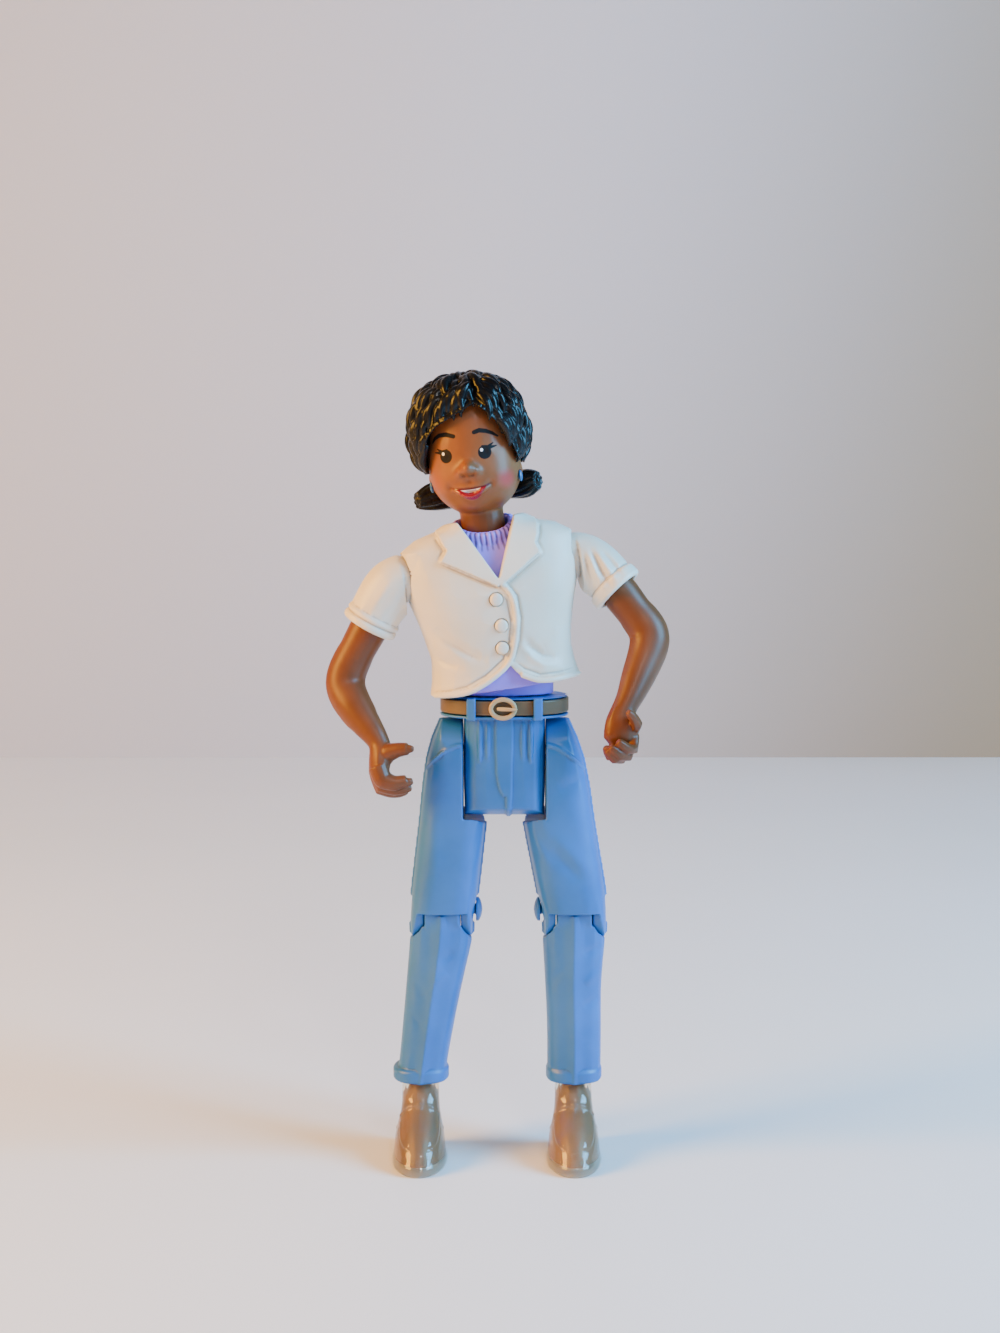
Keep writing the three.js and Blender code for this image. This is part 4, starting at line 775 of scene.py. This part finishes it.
def foot_piece(side):
    """The brown foot inside the clear shoe: full at the toe, slim where it rises to the ankle."""
    piece = rounded(copy_of(f"{side}_foot", f"foot_core_{side}"), 0.23, 5)
    normals = normals_of(piece)

    def fill(points, facing):
        height = points[:, 2]
        grow = np.where(height > 15.6, 0, np.interp(height, FOOT_HEIGHTS, FOOT_GROWTH))
        return points + normals * grow[:, None]

    return reshape(piece, FEET_FRAME, fill)


def shoe_piece(side, x):
    """The clear shoe, moulded close round the foot, with a strap, its knot and two seams."""
    shell = rounded(copy_of(f"{side}_shoe", f"shoe_shell_{side}"), 0.17, 4)
    filling = rounded(copy_of("filling", f"foot_core_{side}"), 0.2, 2)
    finish_with(filling, "DISPLACE", strength=0.35 * MM, mid_level=0)
    reshape(filling, FEET_FRAME, lambda points, facing: np.minimum(points, (99, 99, ANKLE_TOP)))
    tree = tree_of(shell)

    def on_top(place):
        """The shoe's outer face above one place."""
        above = in_frame(FEET_FRAME, (x + place[0], place[1], 30))
        return tree.ray_cast(above, Vector((0, 0, -1)))[0]

    cords = [tube("seam", [on_top(place) for place in path], [radius] * len(path))
             for path, radius in (MIDDLE_SEAM, TOE_SEAM, STRAP)]
    knot = tube("knot", [on_top(place) for place in KNOT[0]], KNOT[1])
    shoe = voxelled(joined(f"{side}_shoe", shell, filling, knot, *cords), 0.14, 3)

    def broad_toe(points, facing):
        toe = np.clip((9 - points[:, 2]) / 5, 0, 1) * np.clip((-1 - points[:, 1]) / 4, 0, 1)
        return points + sideways(points[:, 0] - x, BROAD_TOE * toe)

    return reshape(shoe, FEET_FRAME, broad_toe)


# Webs that join the thumb and the fingers of the open hand to its palm: places and radii
HAND_WEBS = [
    ([(-25.4, -6.6, -10.6), (-24.2, -7.6, -9.8), (-22.4, -8.5, -9.4), (-20.6, -9.3, -9.35)],
     (2.1, 1.8, 1.4, 1.15)),
    ([(-26.4, -8.1, -12), (-26, -8.9, -14.4), (-24, -9.4, -15.3), (-21.7, -9.5, -15.2)],
     (1.9, 1.75, 1.45, 1.15)),
    ([(-26.6, -6.6, -13), (-26, -7.4, -15.6), (-24.2, -8, -16.4), (-22, -8.2, -16.4)],
     (1.6, 1.5, 1.25, 1.0)),
]


def right_arm_piece():
    """The right arm, its open hand webbed between the thumb and the fingers."""
    arm = rounded(copy_of("right_arm", "arm_right"), 0.17, 2)
    webs = [tube("web", [in_frame(TORSO_FRAME, point) for point in path], radii, 4)
            for path, radii in HAND_WEBS]
    return voxelled(joined("right_arm", arm, *webs), 0.17, 5)


shirt = ribbed_shirt()

# Pieces that refine one solid: name, solid, body, slot, finish, size of its faces in mm, softening
REFINED = [
    ("torso_shirt_front", "torso_front", "torso", "shirt", shirt, 0.18, 2),
    ("torso_shirt_back", "torso_back", "torso", "shirt", shirt, 0.25, 2),
    ("vest_front_panel", "vest_front", "torso", "vest", off_white, 0.17, 4),
    ("vest_back_panel", "vest_back", "torso", "vest", off_white, 0.26, 4),
    ("waist_drum", "waist_plug", "waist", "shirt", lilac, 0.3, 2),
    ("waistband_front", "pelvis_front", "pelvis", "trousers", blue, 0.18, 2),
    ("waistband_back", "pelvis_back", "pelvis", "trousers", blue, 0.25, 2),
    ("belt_band", "belt", "pelvis", "belt", tan, 0.15, 2),
    ("buckle_ring", "belt_buckle", "pelvis", "buckle", pale_tan, 0.1, 3),
    ("buckle_prong", "belt_prong", "pelvis", "buckle", pale_tan, 0.08, 3),
    ("button_top", "vest_button_1", "torso", "vest", off_white, 0.09, 3),
    ("button_middle", "vest_button_2", "torso", "vest", off_white, 0.09, 3),
    ("button_low", "vest_button_3", "torso", "vest", off_white, 0.09, 3),
    ("right_sleeve", "sleeve_right", "arm_right", "vest", off_white, 0.2, 4),
    ("left_sleeve", "sleeve_left", "arm_left", "vest", off_white, 0.2, 4),
    ("left_arm", "arm_left", "arm_left", "skin", skin, 0.17, 4),
    ("right_earring", "earring_right", "head", "stud", stud_blue, 0.08, 3),
    ("left_earring", "earring_left", "head", "stud", stud_blue, 0.08, 3),
]
for side in ("right", "left"):
    REFINED += [
        (f"{side}_thigh_front", f"thigh_front_{side}", f"thigh_{side}", "trousers", blue, 0.23, 2),
        (f"{side}_thigh_back", f"thigh_back_{side}", f"thigh_{side}", "trousers", blue, 0.23, 2),
        (f"{side}_knee_pin", f"knee_pin_{side}", f"thigh_{side}", "trousers", blue, 0.15, 2),
        (f"{side}_shin", f"shin_{side}", f"shin_{side}", "trousers", blue, 0.2, 2),
    ]


def thinned(piece):
    """Merges faces of a piece that has more of them than it needs."""
    triangles = sum(len(face.vertices) - 2 for face in piece.data.polygons)
    if triangles > MOST_TRIANGLES:
        finish_with(piece, "DECIMATE", ratio=MOST_TRIANGLES / triangles)


def dress(piece, body, finish, node):
    """Gives a finished piece its material and its body, and hides the solid that it stands for."""
    # Hollows are marked for the painted shade in grooves and the painted highlight on ridges
    if finish.grooved:
        mark_hollows(piece)
    thinned(piece)
    piece.data.materials.clear()
    piece.data.materials.append(finish.material)
    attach(piece, body)
    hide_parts(node)


# Folds of the moulded cloth: line of places (x, z), width, height
VEST_FOLDS = [
    ([(-12.6, 11.6), (-9.9, 8.3), (-7.1, 6.0), (-4.6, 4.8)], 0.95, -0.8),
    ([(-12.0, 9.6), (-9.4, 6.9), (-6.6, 4.9)], 0.9, 0.4),
    ([(-13.9, 7.4), (-11.9, 5.3), (-9.0, 3.6)], 0.8, -0.65),
    ([(3.7, 7.6), (4.6, 5.6), (6.6, 3.7), (9.2, 2.9)], 0.85, -0.5),
    ([(3.3, 5.8), (4.6, 3.7), (6.6, 2.0), (9.6, 1.3)], 0.9, 0.4),
    ([(10.8, 8.6), (9.6, 6.2), (7.2, 5.2)], 1.2, 0.3),
]
# Grooves inside the piping, beside the overlap and under the lapels
VEST_GROOVES = [
    [(-13.7, -0.2), (-11.8, -0.4), (-8.1, 0.1), (-4.4, 1.7), (-0.8, 4.2), (0.7, 7.3), (1.45, 11.4),
     (1.2, 15), (-0.6, 17.6)],
    [(1.5, 3.3), (2.9, 1.9), (5.7, 0.35), (9.4, 0.1), (13.5, 0.2)],
    [(1.2, 3.6), (2.75, 7.2), (3.45, 11.4), (3.25, 15.6), (1.5, 18.4)],
    [(0.2, 17.2), (-4.2, 19.7), (-10, 23.2)],
    [(-10.1, 23.7), (-8.8, 25.4), (-9.5, 27), (-10.3, 29.5)],
    [(1.2, 17.4), (4.2, 19.3), (9.3, 22.3)],
    [(9.4, 22.8), (8.8, 24.6), (9.5, 26), (10.4, 29.5)],
]
VEST_FOLDS += [(line, 0.3, -0.3) for line in VEST_GROOVES]
SLEEVE_FOLDS = [
    ([(17.2, 21.0), (17.6, 17.4), (18.3, 13.2)], 0.6, -0.42),
    ([(18.6, 21.4), (19.7, 17.8), (21.0, 14.4)], 0.6, -0.45),
    ([(20.6, 21.0), (22.0, 18.8), (23.2, 16.4)], 0.55, -0.4),
    ([(17.9, 21.2), (18.6, 17.6), (19.6, 13.8)], 0.55, 0.3),
    ([(19.6, 21.2), (20.8, 18.3), (22.1, 15.4)], 0.55, 0.3),
]
RIGHT_SLEEVE_FOLDS = [
    ([(-16.6, 19.0), (-18.6, 16.0), (-20.6, 13.6)], 0.8, -0.22),
    ([(-18.6, 21.6), (-21.0, 18.8), (-23.2, 16.2)], 0.8, 0.2),
]
SHIN_FOLDS = {
    "right": [
        ([(-9.4, 40.5), (-12.6, 38.4)], 0.9, -0.25), ([(-10.6, 36.4), (-13.2, 34.6)], 0.9, 0.25),
        ([(-15.2, 32.0), (-17.6, 35.6)], 1.0, -0.22), ([(-15.6, 25.6), (-18.2, 29.2)], 1.0, -0.2),
    ],
    "left": [
        ([(15.0, 39.8), (18.4, 41.6)], 0.9, -0.28), ([(15.2, 34.2), (18.0, 36.4)], 0.9, 0.3),
        ([(15.0, 29.8), (18.0, 31.4)], 0.9, -0.3), ([(8.6, 33.4), (10.6, 37.0)], 0.9, -0.22),
    ],
}
THIGH_FOLDS = {
    "right": [([(-6.2, 58.2), (-4.6, 64.6)], 0.8, -0.25), ([(-13.8, 67.0), (-13.2, 55.0)], 1.6, 0.2)],
    "left": [
        ([(4.6, 64.6), (8.2, 57.4)], 0.8, 0.28), ([(9.2, 63.2), (16.4, 55.8)], 1.5, 0.3),
        ([(8.6, 60.8), (14.4, 54.4)], 1.2, -0.25), ([(10.2, 71.6), (15.4, 74.2)], 1.2, -0.25),
    ],
}


def ring_groove(piece, at, along, width, height):
    """Sinks a ring round a limb of the torso's frame, square to the limb."""
    along = np.array(Vector(along).normalized())

    def change(points, facing):
        away = (points - np.array(at)) @ along
        radial = points - np.array(at) - away[:, None] * along
        radial /= np.linalg.norm(radial, axis=1)[:, None] + 1e-9
        return points + radial * (height * np.exp(-(away / width) ** 2))[:, None]
    return reshape(piece, TORSO_FRAME, change)


def folded(piece, place, folds):
    """A piece with the folds that are moulded in its front."""
    def change(points, facing):
        for line, width, height in folds:
            points = fold(points, facing, line, width, height)
        return points
    return reshape(piece, place, change)


FOLDS = {
    "vest_front_panel": (TORSO_FRAME, VEST_FOLDS),
    "left_sleeve": (TORSO_FRAME, SLEEVE_FOLDS),
    "right_sleeve": (TORSO_FRAME, RIGHT_SLEEVE_FOLDS),
    "right_shin": (FEET_FRAME, SHIN_FOLDS["right"]),
    "left_shin": (FEET_FRAME, SHIN_FOLDS["left"]),
    "right_thigh_front": (FEET_FRAME, THIGH_FOLDS["right"]),
    "left_thigh_front": (FEET_FRAME, THIGH_FOLDS["left"]),
}


HIP_Z = 78.3
HIP_ROUND = 9
HIP_BOSS = 0.17


def wide_hips(piece):
    """A low round boss on either side of the pelvis, which shades the slit beside the thigh."""
    def change(points, facing):
        away = np.hypot(points[:, 1], points[:, 2] - HIP_Z)
        grow = HIP_BOSS * np.exp(-(away / HIP_ROUND) ** 6) * (np.abs(points[:, 0]) > 6.9)
        return points + sideways(np.sign(points[:, 0]), grow)
    return reshape(piece, FEET_FRAME, change)


def resized(piece, place, centre, sizes):
    """A piece made larger or smaller about one place of a tilted frame."""
    centre = np.array(centre)
    return reshape(piece, place, lambda points, facing: centre + (points - centre) * sizes)


def flat_stud(piece, side):
    """An ear stud: a narrow drop that lies against the side of the head."""
    return resized(piece, HEAD_FRAME, (side * 8.35, -1.3, 36.9), (0.5, 1, 1.25))


def full_button(piece, x, z):
    """A button that fills its seat in the vest."""
    return resized(piece, TORSO_FRAME, (x, 0, z), (1.13, 1, 1.13))


KNEE_Z = 47.8
KNEE_X = {"right": -11.4, "left": 12.8}
TONGUE_ROUND = 5.4
TONGUE_WIDE = 3.2  # from its middle to either side
TONGUE_FULLER = 0.12


def full_tongue(piece, side):
    """The knee tongue of a shin, close to the cheeks of the thigh."""
    def change(points, facing):
        off = points[:, 0] - KNEE_X[side]
        flank = np.abs(np.abs(off) - TONGUE_WIDE) < 0.35
        near = flank & (np.hypot(points[:, 1], points[:, 2] - KNEE_Z) < TONGUE_ROUND)
        return points + sideways(np.sign(off), TONGUE_FULLER * near)
    return reshape(piece, FEET_FRAME, change)


# What else is done to some pieces
SPECIAL = {
    "button_top": lambda piece: full_button(piece, -0.7, 15.4),
    "button_middle": lambda piece: full_button(piece, -0.4, 10.5),
    "button_low": lambda piece: full_button(piece, -0.7, 6.3),
    "right_shin": lambda piece: full_tongue(piece, "right"),
    "left_shin": lambda piece: full_tongue(piece, "left"),
    "torso_shirt_front": ribs_on,
    "torso_shirt_back": ribs_on,
    "waistband_front": wide_hips,
    "waistband_back": wide_hips,
    "right_earring": lambda piece: flat_stud(piece, -1),
    "left_earring": lambda piece: flat_stud(piece, 1),
    "right_sleeve": lambda piece: ring_groove(piece, (-23.0, 1.1, 14.1), (-2, 0.4, -2.7), 0.3, -0.35),
    "left_sleeve": lambda piece: ring_groove(piece, (21.8, -2.9, 15.0), (1.8, -1, -2.6), 0.3, -0.35),
}

for name, node, body, slot, finish, voxel, soften in REFINED:
    piece = rounded(copy_of(name, node), voxel, soften)
    if name in FOLDS:
        folded(piece, *FOLDS[name])
    if name in SPECIAL:
        SPECIAL[name](piece)
    dress(piece, body, finish, node)
dress(right_arm_piece(), "arm_right", skin, "arm_right")
dress(head_piece(), "head", painted_face(), "head")
dress(hair_cap_piece(), "head", black, "hair_cap")
dress(hair_roll_piece(), "head", black, "hair_roll")
for side, foot_x in (("right", -16.1), ("left", 13.2)):
    dress(foot_piece(side), f"shin_{side}", brown, f"foot_core_{side}")
    dress(shoe_piece(side, foot_x), f"shin_{side}", clear, f"shoe_shell_{side}")
for node in ("hip_axle", "waist_pin", "shoulder_axle"):
    solid = frame["nodes"][node]
    solid.data.materials.clear()
    solid.data.materials.append(steel.material)


# Stage, light and camera
def sheet_of(name, corners, finish):
    """A flat stretch of the studio."""
    bpy.ops.mesh.primitive_plane_add(size=2)
    plane = bpy.context.object
    plane.name = name
    set_points(plane, np.array(corners, float))
    plane.data.materials.append(finish.material)


WALL_Y = 0.5
TABLE_DARK, TABLE_PALE = (0.86, 0.86, 0.88), (0.90, 0.90, 0.92)
WALL_DARK, WALL_PALE, WALL_SHADOW_BROWN = (0.55, 0.54, 0.585), (0.585, 0.575, 0.62), (0.34, 0.245, 0.155)
table_finish = Finish("pale_table", TABLE_DARK, Roughness=0.55)
table_cloud = table_finish.noise(5, 3)
table_finish.put(table_finish.shader, "Base_Color",
                 table_finish.mix(table_cloud.step(0.3, 0.7), TABLE_DARK, TABLE_PALE))
wall_finish = Finish("pale_wall", WALL_DARK, Roughness=0.8)
wall_cloud = wall_finish.noise(2, 2)
wall_x, _, wall_z = wall_finish.split(wall_finish.place)
wall_tone = wall_finish.mix(wall_cloud.step(0.3, 0.7), WALL_DARK, WALL_PALE)
# Painted shadow on the wall: a darker warm brown towards the right and towards the bottom
painted_shadow_side = (wall_x - wall_z * 0.25).step(-0.08, 0.24)
wall_finish.put(wall_finish.shader, "Base_Color", wall_finish.mix(painted_shadow_side, wall_tone, WALL_SHADOW_BROWN))
sheet_of("table", [(-1.5, -1.2, 0), (1.5, -1.2, 0), (-1.5, WALL_Y, 0), (1.5, WALL_Y, 0)], table_finish)
sheet_of("wall", [(-1.5, WALL_Y, 0), (1.5, WALL_Y, 0), (-1.5, WALL_Y, 1.2), (1.5, WALL_Y, 1.2)],
         wall_finish)


AIM = Vector((0, 0, 0.08))


def soft_light(name, place, size, power, color):
    """An area light that points at the doll."""
    data = bpy.data.lights.new(name, "AREA")
    data.shape = "RECTANGLE"
    data.size, data.size_y = size
    data.energy = power
    data.color = color
    lamp = bpy.data.objects.new(name, data)
    lamp.location = place
    lamp.rotation_euler = (Vector(place) - AIM).to_track_quat("Z", "Y").to_euler()
    bpy.context.scene.collection.objects.link(lamp)


soft_light("window_right", (0.56, -0.17, 0.38), (0.34, 0.42), 13.5, (0.17, 0.57, 1.0))
soft_light("lamp_left", (-0.56, -0.19, 0.36), (0.30, 0.38), 11.5, (1.0, 0.48, 0.07))
soft_light("front_fill", (0.0, -0.80, 0.60), (0.7, 0.5), 0.9, (1.0, 0.97, 0.94))
soft_light("small_lamp", (0.12, -0.42, 0.46), (0.05, 0.05), 0.45, (1.0, 0.98, 0.96))
world = bpy.data.worlds.new("studio")
world.use_nodes = True
sky = world.node_tree.nodes["Background"].inputs
sky["Color"].default_value = (0.80, 0.80, 0.82, 1)
sky["Strength"].default_value = 0.2
bpy.context.scene.world = world

CAMERA_PLACE = (0.000494, -0.372435, 0.135)
CAMERA_DOWN = 6.2  # degrees
camera_data = bpy.data.cameras.new("camera")
camera_data.lens = 54.1
camera_data.sensor_width = 36
camera_data.clip_start = 0.01
camera = bpy.data.objects.new("camera", camera_data)
camera.location = CAMERA_PLACE
camera.rotation_euler = (math.radians(90 - CAMERA_DOWN), 0, 0)
bpy.context.scene.collection.objects.link(camera)
bpy.context.scene.camera = camera
